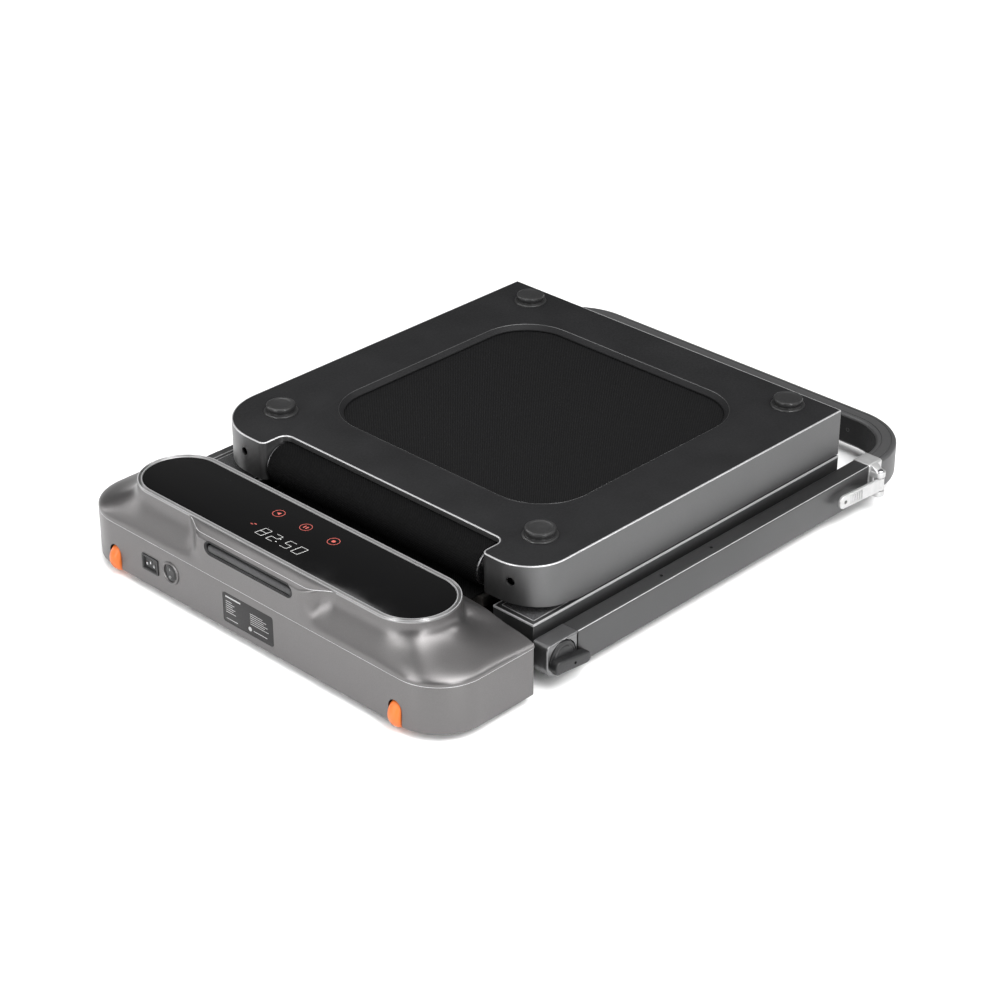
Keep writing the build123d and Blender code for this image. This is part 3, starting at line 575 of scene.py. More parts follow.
def ray_length(cx, cy, angle, outline):
    """The distance from a point to an outline along an angle."""
    dx, dy = math.cos(angle), math.sin(angle)
    hits = []
    for (ax, ay), (bx, by) in zip(outline, outline[1:] + outline[:1]):
        ex, ey = bx - ax, by - ay
        det = dx * -ey + dy * ex
        if abs(det) > 1e-12:
            t = ((ax - cx) * -ey + (ay - cy) * ex) / det
            u = (dx * (ay - cy) - dy * (ax - cx)) / det
            if t > 0 and -1e-6 <= u <= 1 + 1e-6:
                hits.append(t)
    return max(hits)


def smoothstep(t):
    t = max(0.0, min(1.0, t))
    return t * t * (3 - 2 * t)


TOP_ROWS = 7
WALL_ROWS = 44
RIDGE_SIDE = 0.66
RIDGE_DROP = 0.055
TURN = 0.06
CREST_HIGHLIGHT_HALF = 0.4 * MM
NARROW = 55 * MM
WIDEN = 50 * MM
LIP_REACH = 6.8 * MM
FORWARD = -math.pi / 2
SIDE_STEPS, END_STEPS, REAR_STEPS = 150, 56, 24


def wall_profile(row, ridge, front, wide):
    """(sideways share, drop share) down the cover wall. ridge is how far the crisp ridge stands out
    from the lip, front how upright the wall under it is; both are 0 on the plain swept wall. The
    wider the wall reaches out, the more hollow it is."""
    side, drop = RIDGE_SIDE * ridge, RIDGE_DROP * ridge
    if row <= TOP_ROWS:
        t = row / TOP_ROWS
        return side * t, drop * t * t
    t = (row - TOP_ROWS) / WALL_ROWS
    t = t * t * (1.6 - 0.6 * t)
    swept = smoothstep(t / 0.95) ** (1.8 + 3.2 * smoothstep((wide - NARROW) / WIDEN))
    turned = 1 - (1 - min(1.0, t / TURN)) ** 1.6
    return side + (1 - side) * (swept + (turned - swept) * front), drop + (1 - drop) * t


def cover_spots(centre, cy):
    """(x, y, angle) round the spine of the glass: where the cover's rays start, and their ways out."""
    spots = [(-centre + 2 * centre * i / SIDE_STEPS, cy, FORWARD) for i in range(SIDE_STEPS)]
    spots += [(centre, cy, FORWARD + math.pi * i / END_STEPS) for i in range(END_STEPS)]
    spots += [(centre - 2 * centre * i / REAR_STEPS, cy, -FORWARD) for i in range(REAR_STEPS)]
    return spots + [(-centre, cy, -FORWARD + math.pi * i / END_STEPS) for i in range(END_STEPS)]


def upper_cover():
    """The swept cover: every point runs from the lip round the glass out to the band's outline."""
    lip = (GLASS_BOX.x1 - GLASS_BOX.x0) / 2 + LIP_REACH
    radius = (GLASS_BOX.y1 - GLASS_BOX.y0) / 2 + LIP_REACH
    top = GLASS_BOX.z1 - 1.2 * MM
    low = SHELL.z1 + SEAM
    band = rounded(SHELL.x0, SHELL.x1, SHELL.y0, COVER_REAR, (CORNER, CORNER, 16 * MM, 16 * MM),
                   CORNER_STEPS)
    spots = cover_spots(lip - radius, GLASS_BOX.cy)
    reach = [ray_length(x, y, a, band) - radius for x, y, a in spots]
    loops, crest = [], []
    for row in range(TOP_ROWS + WALL_ROWS + 1):
        loop = []
        for (x, y, a), wide in zip(spots, reach):
            ridge = front = 0.0
            if a == FORWARD:
                past = max(BOSS[0] - x, x - BOSS[1])
                ridge = 1 - smoothstep(past / (1.5 * BOSS_BLEND))
                front = 1 - smoothstep((past + 0.25 * BOSS_BLEND) / BOSS_BLEND)
            s, d = wall_profile(row, ridge, front, wide)
            out = radius + wide * s
            loop.append((x + out * math.cos(a), y + out * math.sin(a), top + (low - top) * d))
            if row == TOP_ROWS + 2 and ridge > 0.04:
                crest.append(loop[-1])
        loops.append(loop)
    cover = loft("housing_upper_cover", loops)
    cut_block(cover, -PAST_SIDE, PAST_SIDE, SHELL.y1, SHELL.y1 + 0.1, 0.05, PAST_TOP)
    grip = Box("grip_cup")
    slot = grip.face("y", (grip.z1 - grip.z0) / 2 - 0.01 * MM, 14)
    punch(cover, slot, AHEAD, FRONT + 22 * MM, "y")
    declare(cover, HOUSING, "base", "cover_grey", "upper_cover")
    # A thin bright bead along the boss's crest: a painted highlight standing in for the light that the sharp
    # ridge catches.
    around = [(dy * CREST_HIGHLIGHT_HALF, dz * CREST_HIGHLIGHT_HALF) for dy, dz in ((-1, 0), (0, 1), (1, 0), (0, -1))]
    highlight_bead = [[(x, y + dy, z + dz) for dy, dz in around] for x, y, z in crest]
    declare(loft("boss_crest_highlight", highlight_bead), TRIM_AND_HIGHLIGHT, "base", "silver_trim")


def grip_cup():
    grip = Box("grip_cup")
    front = FRONT + 0.6 * MM
    slot = grip.face("y", (grip.z1 - grip.z0) / 2 - 0.3 * MM, 14, 0.2 * MM)
    steps = ((0, 20), (0, 0.8), (0.7, 0), (1.6, 0), (2.4, 1), (2.8, 5), (3.4, 14), (5.5, 16))
    cup = stack("finger_grip_cup", slot, at(front, *steps), "y")
    declare(cup, SOFT, "base", "soft_black", "grip_cup")
    inner = rounded(grip.x0 + 4 * MM, grip.x1 - 4 * MM, grip.z0 + 2.6 * MM, grip.z1 - 7.5 * MM, 4.6 * MM)
    bar = prism("finger_grip_bar", inner, front + 1.2 * MM, front + 15 * MM, "y", (2.5 * MM, 0.2 * MM))
    declare(bar, GRIP, "base", "soft_black")


def glass_outline(grow=0.0):
    r = (GLASS_BOX.y1 - GLASS_BOX.y0) / 2 - 0.05 * MM
    return GLASS_BOX.face("z", r + grow, 36, -grow)


def display():
    z = GLASS_BOX.z1
    glass = prism("display_glass_panel", glass_outline(-0.35 * MM), z - 2.2 * MM, z - 0.1 * MM,
                  soft=(0, 0.5 * MM))
    declare(glass, GLASS, "base", "black_glass", "display_glass")
    steps = ((-6.9, -3.0), (-7.0, -0.8), (-6.6, -0.2), (-5.6, 0.15), (-4.6, 0.1), (-4.1, -0.5), (-3.5, -0.5),
             (-3.0, 0.15), (-1.2, 0.3), (-0.2, 0.2), (0.3, -0.3), (0.3, -3.0))
    lip = ring("display_lip", glass_outline(), at(z, *steps))
    declare(lip, LIP, "base", "silver_trim", "display_bezel")
    # Two thin bright rings on the lip's inner and outer edges: painted highlights.
    lines = [ring("line", glass_outline(),
                  at(z, (-d - 0.5, 0.05), (-d - 0.5, 0.4), (0.5 - d, 0.4), (0.5 - d, 0.05)))
             for d in (1.1, 5.9)]
    declare(join("display_lip_highlights", lines), TRIM_AND_HIGHLIGHT, "base", "silver_trim")


SIGN_LEVEL = GLASS_BOX.z1 - 0.1 * MM
SIGN_RISE = 0.12


def sign(outline):
    """A thin printed shape on the glass."""
    return prism("sign", outline, SIGN_LEVEL, SIGN_LEVEL + SIGN_RISE * MM)


def key_signs():
    """Three touch keys, each a ring and a plain glyph, and two short dashes."""
    gap, y, dash = 52 * MM, FRONT + 104 * MM, FRONT + 62 * MM
    arrow = [(-gap + dx * MM, y + dy * MM) for dx, dy in ((2.8, -3.2), (2.8, 3.2), (-3.4, 0))]
    keys = ((-gap, [arrow]), (0, [rect(x * MM, y, 0.9, 3, 0.4) for x in (-2.2, 2.2)]),
            (gap, [rect(gap, y, 2.6, 2.4, 0.8, 4)]))
    parts = []
    for x, glyph in keys:
        parts.append(ring("sign", circle(x, y, 8.6 * MM, 48),
                          at(SIGN_LEVEL, (0, 0), (0, SIGN_RISE), (0.7, SIGN_RISE), (0.7, 0))))
        parts += [sign(outline) for outline in glyph]
    parts += [sign(rect(x * MM, dash + dy * MM, 2.2, 0.6, 0.5)) for x, dy in ((-57, 0), (-53, 3))]
    declare(join("touch_key_signs", parts), RED_SIGN, "base", "label")


SEGMENTS = {"a": (0, 2, 1, 2), "b": (1, 2, 1, 1), "c": (1, 1, 1, 0), "d": (0, 0, 1, 0), "e": (0, 1, 0, 0),
            "f": (0, 2, 0, 1), "g": (0, 1, 1, 1)}
DIGITS = {"0": "abcdef", "2": "abged", "5": "afgcd", "8": "abcdefg"}


def led_digits():
    """Four generic digits made of small dots, upright for a person who stands on the belt."""
    wide, tall, slant, dots = 12 * MM, 8.6 * MM, 1.2 * MM, 5
    parts = []
    for i, digit in enumerate("0528"):
        right = 45 * MM - i * 21 * MM - (5 * MM if i > 1 else 0)
        for key in DIGITS[digit]:
            ax, ay, bx, by = SEGMENTS[key]
            for k in range(dots):
                t = (k + 0.5) / dots
                u = ax + (bx - ax) * t
                w = ay + (by - ay) * t
                x, y = right - u * wide - w * slant, FRONT + 67 * MM - w * tall
                parts.append(sign(circle(x, y, 0.62 * MM, 8)))
    parts += [sign(circle(-0.5 * MM, FRONT + y, 0.9 * MM, 8)) for y in (53 * MM, 61 * MM)]
    declare(join("led_digits", parts), WHITE_SIGN, "base", "label")


def inlet_and_switch():
    inlet = Box("power_inlet")
    steps = ((0, 3.0), (0, 0.6), (0.5, 0.05), (2.6, 0.0), (3.4, 0.8), (4.2, 2.5), (4.4, 16), (5.2, 17))
    body = stack("inlet_body", inlet.face("y", 2 * MM), at(inlet.y0, *steps), "y")
    declare(body, BLACK, "base", "black_plastic", "power_inlet")
    pins = [prism("pin", rect(inlet.cx + dx * MM, inlet.cz + dz * MM, 1, 2, 0.3), inlet.y0 + 1.5 * MM,
                  inlet.y0 + 16 * MM, "y", 0.4 * MM) for dx, dz in ((-7, -1.5), (0, 2), (7, -1.5))]
    declare(join("inlet_pins", pins), STEEL, "base", "steel")
    bezel = Box("switch_bezel")
    r, cx, cz = (bezel.x1 - bezel.x0) / 2, bezel.cx, bezel.cz
    steps = ((0, 3.0), (0, 1.2), (0.4, 0.4), (1.2, 0.0), (2.2, 0.2), (3.4, 1.0), (4.0, 2.5), (4.0, 12))
    rim = lathe("switch_ring", [(r - d, y) for d, y in at(bezel.y0, *steps)], (cx, cz), "y", 64)
    declare(rim, HOUSING, "base", "black_plastic", "switch_bezel")
    front, r, rows, around = bezel.y0 + 3 * MM, 11.4 * MM, 14, 48
    loops = [[(cx + px, front + 6 * MM, cz + pz) for px, pz in circle(0, 0, r, around)]]
    for row in range(rows + 1):
        t = row / rows
        y = front - 1.6 * MM * min(1, 3 * t)
        loops.append([(cx + px, y - 1.6 * MM * (pz / r) ** 2, cz + pz)
                      for px, pz in circle(0, 0, r * (1 - 0.96 * t), around)])
    declare(loft("switch_rocker", loops), BLACK, "switch", "black_plastic", "power_rocker")
    marks = [ring("mark", circle(cx, cz - 5.5 * MM, 1.8 * MM, 20),
                  at(front, (0, -2.4), (0, -2.0), (0.5, -2.0), (0.5, -2.4)), "y"),
             prism("mark", rect(cx, cz + 5.6 * MM, 0.3, 1.8, 0.1, 2), front - 2.4 * MM, front - 2 * MM,
                   "y")]
    declare(join("switch_marks", marks), PRINT, "switch", "label")


def rating_label():
    """A dark film with plain bars, no words."""
    label = Box("rating_label")
    film = prism("rating_film", label.face("y", 4 * MM), FRONT + 0.25 * MM, FRONT + 0.7 * MM, "y",
                 (0.1 * MM, 0))
    declare(film, LABEL, "base", "label", "rating_label")
    lines = range(6)
    bars = [(5, 34, 37, 39.2)]
    bars += [(5, 17 + (5 * i) % 9, 31 - 3.2 * i, 31.8 - 3.2 * i) for i in lines]
    bars.append((5, 27, 5, 5.9))
    bars += [(52, 76 + (7 * i) % 12, 31 - 3.0 * i, 31.7 - 3.0 * i) for i in lines]
    bars.append((58, 84, 7, 8))
    outlines = [rounded(label.x0 + x0 * MM, label.x0 + x1 * MM, label.z0 + z0 * MM, label.z0 + z1 * MM,
                        0.25 * MM, 2) for x0, x1, z0, z1 in bars]
    outlines.append(circle(label.x0 + 51 * MM, label.z0 + 8 * MM, 3.2 * MM, 24))
    parts = [prism("bar", outline, FRONT + 0.2 * MM, FRONT + 0.27 * MM, "y") for outline in outlines]
    declare(join("rating_bars", parts), PRINT, "base", "label")


def transport_wheels():
    tread = 7 * MM
    turns = [-math.pi / 2 + math.pi * i / 12 for i in range(13)]
    for side in ("left", "right"):
        node = "transport_wheel_" + side
        wheel = Box(node)
        r = (wheel.z1 - wheel.z0) / 2
        half = (wheel.x1 - wheel.x0) / 2
        profile = [(4.2 * MM, -half), (9 * MM, -half), (r - tread, -half)]
        profile += [(r - tread + tread * math.cos(a), half * math.sin(a)) for a in turns]
        profile += [(9 * MM, half), (4.2 * MM, half)]
        tyre = lathe("wheel_tyre_" + side, [(pr, wheel.cx + px) for pr, px in profile],
                     (wheel.cy, wheel.cz), "x", 72)
        declare(tyre, ORANGE, "wheel_" + side, "orange_wheel", node)
    repaint(STEEL, "wheel_mounts")


# ---------------------------------------------------------------- front half of the deck
HINGE_X = 275 * MM
HINGE_HALF = 26 * MM
UNDER_HINGE = 72.5 * MM
OVER_HINGE = 90.5 * MM
BELT_RISE = 71 * MM
FOLD_LEVEL = 20.6 * MM


def front_rails():
    pads, borders = [], []
    for node in ("front_rail_left", "front_rail_right"):
        b = Box(node)
        face = b.face("z", 1.2 * MM, 4)
        rail = prism("deck_" + node, face, b.z0, b.z1 - 0.05 * MM, soft=(1.5 * MM, 0.6 * MM))
        near = b.y1 - 10 * MM
        for x in (-HINGE_X, HINGE_X):
            cut_block(rail, x - HINGE_HALF, x + HINGE_HALF, near, near + 30 * MM, UNDER_HINGE, 0.1)
        declare(rail, RAIL, "base", "deck_grey", node)
        # Bright rings along each rail's top edge and round its pad: partly trim, partly a painted highlight
        # standing in for the light that a chamfered edge catches.
        edge = at(b.z1, (-0.25, -2.2), (-0.25, 0.1), (0.2, 0.35), (1.3, 0.35), (1.6, -0.2))
        borders.append(ring("edge", face, edge))
        inner = rounded(b.x0 + 7 * MM, b.x1 - 7 * MM, b.y0 + 8 * MM, b.y1 - 14 * MM, 2 * MM, 4)
        edge = at(b.z1, (0, -0.2), (0, 0.3), (0.9, 0.3), (0.9, -0.2))
        borders.append(ring("edge", inner, edge))
        pads.append(prism("pad", inset(inner, 1.2 * MM), b.z1 - 0.1 * MM, b.z1 + 0.4 * MM,
                          soft=(0, 0.3 * MM)))
    rim = join("deck_edge_trim", borders)
    for x in (HINGE_X, -HINGE_X):
        cut_block(rim, x - HINGE_HALF, x + HINGE_HALF, near, 1, 0.05, 0.1)
    declare(rim, TRIM_AND_HIGHLIGHT, "base", "silver_trim")
    declare(join("front_grip_pads", pads), PAD, "base", "pad_black", "foot_pads")


def belt_outline(path, thick):
    """The outline of a band that follows an open path on its left side."""
    outer = []
    for i, p in enumerate(path):
        a = Vector(path[max(0, i - 1)])
        b = Vector(path[min(len(path) - 1, i + 1)])
        d = (b - a).normalized()
        outer.append((p[0] - d.y * thick, p[1] + d.x * thick))
    return path + outer[::-1]


def walking_belt(node, name, body, side):
    """One half of the belt: out along the walked run, round the roller, back and up to the fold."""
    b = Box(node)
    thick = 2 * MM
    r = (b.z1 - b.z0) / 2 - thick
    cy = b.y0 + thick + r
    cz = b.cz
    rise_y = b.y1 - BELT_RISE
    fold = cz + side * FOLD_LEVEL
    path = [(b.y1, cz + side * r), ((b.y1 + cy) / 2, cz + side * r)]
    path += arc(cy, cz, r, 90 * side, 270 * side, 40)
    path += [(rise_y - 6 * MM, cz - side * r), (rise_y, cz - side * (r - 0.4 * MM)),
             (b.y1 - 6 * MM, fold - side * 2 * MM), (b.y1, fold - side * 1.2 * MM)]
    belt = prism(name, belt_outline(path, -thick * side), b.x0, b.x1, axis="x")
    declare(belt, SHADED_BELT, body, "belt_black", node)


def belt_fold():
    """The short stretch of belt over the hinge line, in two pieces."""
    front = Box("walking_belt_front")
    hy, hz = pivot("deck_fold")
    r = hz - (front.z1 - 1 * MM)
    start = front.y1 - 1.5 * MM
    low = [(start + (hy - start) * i / 6, hz - r) for i in range(7)]
    bend = arc(hy, hz, r, -90, 90, 16)
    high = [(hy + (start - hy) * i / 6, hz + r) for i in range(7)]
    path = low + bend[1:-1] + high
    half = len(path) // 2
    for name, points, a, b in (("belt_fold_front", path[:half + 1], "base", "hinge_middle"),
                               ("belt_fold_rear", path[half:], "hinge_middle", "rear_deck")):
        outer = belt_outline(points, 1.6 * MM)
        strip = prism(name, outer, front.x0, front.x1, axis="x")
        strip.data.materials.append(SHADED_BELT)
        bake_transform(strip)


# ---------------------------------------------------------------- rear half, folded on top
REAR = Box("rear_skirt")
LOBE_IN = (-190 * MM, 221 * MM)
RECESS_DEPTH = 41.5 * MM
LOBE_R = (88 * MM, 60 * MM)
WALL = 3 * MM


def rear_outline(grow=0.0):
    """Two round lobes towards the housing, with a recess for the roller between them."""
    x0, x1 = REAR.x0, REAR.x1
    near, far = REAR.y0, REAR.y1
    mid = near + RECESS_DEPTH
    left, right = LOBE_IN
    corners = [(x0, near, LOBE_R[0]), (left, near, 9 * MM), (left, mid, 14 * MM), (right, mid, 14 * MM),
               (right, near, 9 * MM), (x1, near, LOBE_R[1]), (x1, far, 2 * MM), (x0, far, 2 * MM)]
    return inset(filleted(corners, 16), -grow)


def rear_skirt():
    top = REAR.z1 - 0.2 * MM
    low = REAR.z0 + 0.6 * MM
    soft = 1.6 * MM
    outside = [(d, top - soft + rise) for d, rise in quarter(soft, 4)]
    profile = [(0.6 * MM, low - 0.6 * MM), (0, low)] + outside + [(WALL, top), (WALL, low - 0.6 * MM)]
    skirt = ring("rear_deck_skirt", rear_outline(), profile)
    nose = [(REAR.y0 + dy * MM, low + dz * MM)
            for dy, dz in ((-60, -30), (91, -30), (91, -0.2), (0, 12), (-60, 18))]
    punch(skirt, nose, -PAST_SIDE, PAST_SIDE, "x")
    left, right = LOBE_IN
    cut_block(skirt, left + 2 * MM, right - 2 * MM, REAR.y0 + 10 * MM, REAR.y0 + 80 * MM, 0.05, top - 8 * MM)
    for x in (-HINGE_X, HINGE_X):
        cut_block(skirt, x - HINGE_HALF, x + HINGE_HALF, REAR.y1 - 12 * MM, REAR.y1 + 10 * MM, 0.05,
                  OVER_HINGE)
    adjust = Box("belt_adjusters")
    for x in (adjust.x0 + 8 * MM, adjust.x1 - 8 * MM):
        hole = circle(x, adjust.z1 - 8 * MM, 6 * MM, 32)
        punch(skirt, hole, REAR.y0 - 10 * MM, REAR.y0 + 20 * MM, "y")
    declare(skirt, SKIRT, "rear_deck", "skirt_grey", "rear_skirt")
    # A thin bright bead along the skirt's top edge: a painted highlight.
    skirt_top_highlight = ring("highlight_bead", rear_outline(),
                 at(top, (-0.05, -1.3), (-0.15, -0.7), (0.5, 0.12), (1.6, 0.15), (1.8, -0.5)))
    declare(skirt_top_highlight, TRIM_AND_HIGHLIGHT, "rear_deck", "silver_trim")


def rear_panel():
    top = Box("rear_panel").z1 + 0.05 * MM
    panel = prism("rear_underside_panel", rear_outline(-2.2 * MM), top - 2.6 * MM, top, soft=(0, 0.5 * MM))
    window = Box("window_rim").face("z", 79 * MM, 24, 8 * MM)
    punch(panel, window, top - 10 * MM, top + 10 * MM)
    declare(panel, PANEL, "rear_deck", "panel_black", "rear_panel")
    steps = ((-1.8, -3.0), (-1.8, -0.1), (-0.9, 0.35), (0.0, 0.35), (0.9, -0.2), (6.5, -4.6), (7.2, -5.6),
             (7.2, -7.2), (5.8, -7.2), (1.0, -3.4))
    rim = ring("window_bevel", window, at(top, *steps))
    declare(rim, PANEL, "rear_deck", "black_plastic", "window_rim")
    belt_z = Box("walking_belt_rear").z1
    mesh = prism("window_weave", inset(window, -4 * MM), belt_z + 0.2 * MM, belt_z + 0.8 * MM)
    declare(mesh, WEAVE, "rear_deck", "belt_black")
    line = ring("window_line", window, at(top, (0, 0.3), (0.15, 0.5), (0.8, 0.1), (0.6, -0.2)))
    declare(line, SKIRT, "rear_deck", "skirt_grey")


def rear_feet():
    box = Box("rear_feet")
    unit, middle = (box.z1 - box.z0) / 12, 24 * MM
    steps = ((23.8, 0.0), (24, 0.6), (23.6, 1.6), (22.6, 2.2), (21.2, 2.4), (20.2, 2.2), (19.4, 2.6),
             (19.2, 4.0), (20.2, 5.2), (20.6, 6.6), (20.6, 9.6), (20.0, 11.2), (18.6, 11.9), (16.2, 12.0),
             (15.0, 11.4), (13.8, 11.2), (0.01, 11.2))
    profile = [(r * MM, box.z0 + h * unit) for r, h in steps]
    feet = [lathe("foot", profile, (x, y), "z", 64) for x in (box.x0 + middle, box.x1 - middle)
            for y in (box.y0 + middle, box.y1 - middle)]
    declare(join("rear_button_feet", feet), FOOT, "rear_deck", "foot_black", "rear_feet")


def rear_running_side():
    """The plates and pads that show when the deck is unfolded."""
    repaint(RAIL, "rear_rails")
    b = Box("rear_rails")
    parts = []
    for x0, x1 in ((b.x0 + 7 * MM, -224 * MM), (246 * MM, b.x1 - 7 * MM)):
        face = rounded(x0, x1, REAR.y0 + 104 * MM, REAR.y1 - 14 * MM, 2 * MM, 4)
        parts.append(prism("pad", face, REAR.z0 - 0.4 * MM, REAR.z0 + 0.3 * MM, soft=(0.3 * MM, 0)))
    declare(join("rear_grip_pads", parts), PAD, "rear_deck", "pad_black", "rear_pads")


# ---------------------------------------------------------------- handrail
TUBE_WIDTH = 27 * MM


def uprights():
    box = Box("uprights")
    section = rounded(box.x1 - TUBE_WIDTH, box.x1, box.z0, box.z1, 3 * MM, 6)
    tube = prism("upright_tube_right", section, box.y0, box.y1, axis="y", soft=0.4 * MM)
    for y in (420 * MM, 520 * MM):
        hole = circle(box.x1 - TUBE_WIDTH / 2, FRONT + y, 2.4 * MM, 24)
        punch(tube, hole, box.z1 - 4 * MM, box.z1 + 4 * MM)
    declare_pair(tube, UPRIGHT, "handrail", "upright_grey", "uprights")
    # A thin bright rod along the tube's top outer edge: a painted highlight standing in for the light that
    # its round edge catches.
    corner = circle(box.x1 - 1.15 * MM, box.z1 - 1.15 * MM, 0.6 * MM, 12)
    line = prism("upright_edge_right", corner, box.y0 + MM, box.y1 - MM, axis="y")
    declare_pair(line, TRIM_AND_HIGHLIGHT, "handrail", "silver_trim")


def knuckles():
    box = Box("upright_knuckles")
    end = Box("uprights").y0 - 0.4 * MM
    face = rounded(box.y0, end, box.z0, box.z1, (22 * MM, 0.6 * MM, 0.6 * MM, 7 * MM), 12)
    body = prism("knuckle_right", face, box.x1 - TUBE_WIDTH, box.x1, "x", (2 * MM, 2.2 * MM), 4)
    punch(body, circle(*pivot("handrail_raise"), 24.4 * MM, 64), box.x1 - 4 * MM, box.x1 + 9 * MM, "x")
    declare_pair(body, KNUCKLE, "handrail", "upright_grey", "upright_knuckles")


def lock_knobs():
    """A round base, a raised collar and a tapered bar with a small eye."""
    box = Box("lock_knob_right")
    y, z = pivot("lock_knob_right_turn")
    hub = at(box.x0, (0.5, 0), (22.9, 0.2), (23, 3.2), (22.2, 4.6), (20.5, 5.2), (17.5, 5.4), (16.5, 6.4),
             (15.5, 6.8), (0.5, 6.8))
    hub = lathe("hub", hub, (y, z), "x", 64)
    heel, tip = Vector((y - 17 * MM, z - 3 * MM)), Vector((y + 31 * MM, z - 9 * MM))
    r0, r1 = 9 * MM, 8.2 * MM
    way = math.degrees(math.atan2(tip.y - heel.y, tip.x - heel.x))
    lean = math.degrees(math.asin((r0 - r1) / (tip - heel).length))
    outline = arc(heel.x, heel.y, r0, way + 90 - lean, way + 270 + lean, 18)
    outline += arc(tip.x, tip.y, r1, way - 90 + lean, way + 90 - lean, 18)
    bar = prism("bar", outline, box.x0 + 5.5 * MM, box.x1 - 0.1 * MM, "x", (0.5 * MM, 2.6 * MM), 5)
    knob = join("pivot_knob_right", [hub, bar])
    eye = circle(y + 9 * MM, z - 6.5 * MM, 2.1 * MM, 20)
    punch(knob, eye, box.x1 - 3 * MM, box.x1 + 3 * MM, "x")
    declare_pair(knob, BLACK, "knob_right", "black_plastic", "lock_knob_right")


def pin_place():
    """(x, y) of the right lever's pin."""
    pin = Box("lever_pins")
    return pin.x1 - 5 * MM, pin.cy


def brackets():
    box, pin, core = Box("clamp_brackets"), Box("lever_pins"), Box("handlebar_core")
    px, py = pin_place()
    x1 = px - 10.5 * MM
    section = rounded(x1 - 30 * MM, x1, box.z0, box.z1, 4 * MM, 6)
    body = prism("bracket", section, box.y0 + 0.1 * MM, box.y1 - 0.2 * MM, "y", (1.2 * MM, 1.5 * MM))
    inner = rounded(core.x1 - 20.8 * MM, core.x1 + 0.6 * MM, core.z0 - 0.6 * MM, core.z1 + 0.6 * MM, MM, 3)
    punch(body, inner, box.y0 - 5 * MM, box.y1 + 5 * MM, "y")
    out, round_end, ear_high = px + 7.4 * MM, 7.3 * MM, 8.4 * MM
    ear = filleted([(x1 - 3 * MM, py - 9 * MM, 0), (out, py - 7.4 * MM, round_end),
                    (out, py + 7.4 * MM, round_end), (x1 - 3 * MM, py + 11 * MM, 0)], 10)
    bottom, top = pin.z0 + 2 * MM, pin.z1 - 2 * MM
    ears = [prism("ear", ear, low, low + ear_high, soft=MM) for low in (bottom, top - ear_high)]
    under = top - 8 * MM
    web = [(x1 - 4 * MM, under), (px - 2 * MM, under), (px + MM, top - 3 * MM), (px + MM, top),
           (x1 + 1.5 * MM, box.z1 - 1.2 * MM), (x1 - 4 * MM, box.z1 - 0.6 * MM)]
    web = prism("web", web, py - 7 * MM, py + 7 * MM, "y", MM)
    whole = join("clamp_bracket_right", [body, *ears, web])
    screw = at(x1, (2.6, -0.5), (2.6, 0.5), (1.8, 0.9), (1.0, 0.9), (0.9, 0.2))
    screws = [lathe("screw", screw, (box.y1 - 7 * MM, z), "x", 24)
              for z in (box.z0 + 9 * MM, box.z1 - 9 * MM)]
    rivets = [lathe("pin", [(2.9 * MM, pin.z0 + MM), (2.9 * MM, pin.z1 - MM)], (px, py), "z", 24)]
    for z, s in ((bottom, -1), (top, 1)):
        head = at(z, (5, 0), (5, s * 1.2), (4.2, s * 1.9), (0.3, s * 2))
        rivets.append(lathe("pin", head, (px, py), "z", 28))
    pins = join("lever_pin_right", rivets + screws)
    declare_pair(whole, CAST, "handrail", "cast_silver", "clamp_brackets")
    declare_pair(pins, STEEL, "handrail", "steel", "lever_pins")


def clamp_levers():
    """A flat cast lever with a round tip, an eye, finger ribs and a hub on the pin."""
    box = Box("clamp_lever_right")
    px, py = pin_place()
    z0, z1 = box.z0, box.z1
    tip_y = box.y0 + 10 * MM

    def middle(y):
        """Where the arm's middle is across: it leans in and bulges on its way to the tip."""
        t = max(0.0, min(1.0, (py - y) / (py - tip_y)))
        return px + (3.6 - 6.4 * t + 0.8 * math.sin(math.pi * t)) * MM

    side = arc(tip_y, box.cz, (z1 - z0) / 2, 90, 270, 20) + [(py + 3 * MM, z0), (py + 3 * MM, z1)]
    arm = prism("arm", side, -2.4 * MM, 2.4 * MM, "x", 1.2 * MM, 3)
    for v in arm.data.vertices:
        v.co.x += middle(v.co.y)
    punch(arm, circle(tip_y + MM, box.cz, 3 * MM, 24), px - 30 * MM, px + 30 * MM, "x")
    parts = [arm]
    for i in range(6):
        y = tip_y + 12 * MM + 4.6 * MM * i
        rib = rect(middle(y) + 2.15 * MM, y, 0.95, 1.1, 0.8, 4)
        parts.append(prism("rib", rib, z0 + 2.5 * MM, z1 - 2.5 * MM, soft=0.8 * MM))
    unit = (z1 - z0) / 20
    hub = [(3.06, 0.4), (6.6, 0.4), (7.1, 1.0), (7.1, 19.0), (6.6, 19.6), (3.06, 19.6)]
    parts.append(lathe("hub", [(r * MM, z0 + h * unit) for r, h in hub], (px, py), "z", 40))
    lever = join("clamp_handle_right", parts)
    declare_pair(lever, CAST, "lever_right", "cast_silver", "clamp_lever_right")


def bow_path(box, half_width, start, corner):
    """The centre line of the bow's right leg and corner, with sideways directions."""
    x, far = box.x1 - half_width, box.y1 - half_width
    path = [((x, start), (1, 0)), ((x, far - corner), (1, 0))]
    ways = [(math.cos(a), math.sin(a)) for a in [math.pi / 2 * i / 40 for i in range(1, 41)]]
    return path + [((x - corner + corner * c, far - corner + corner * s), (c, s)) for c, s in ways]


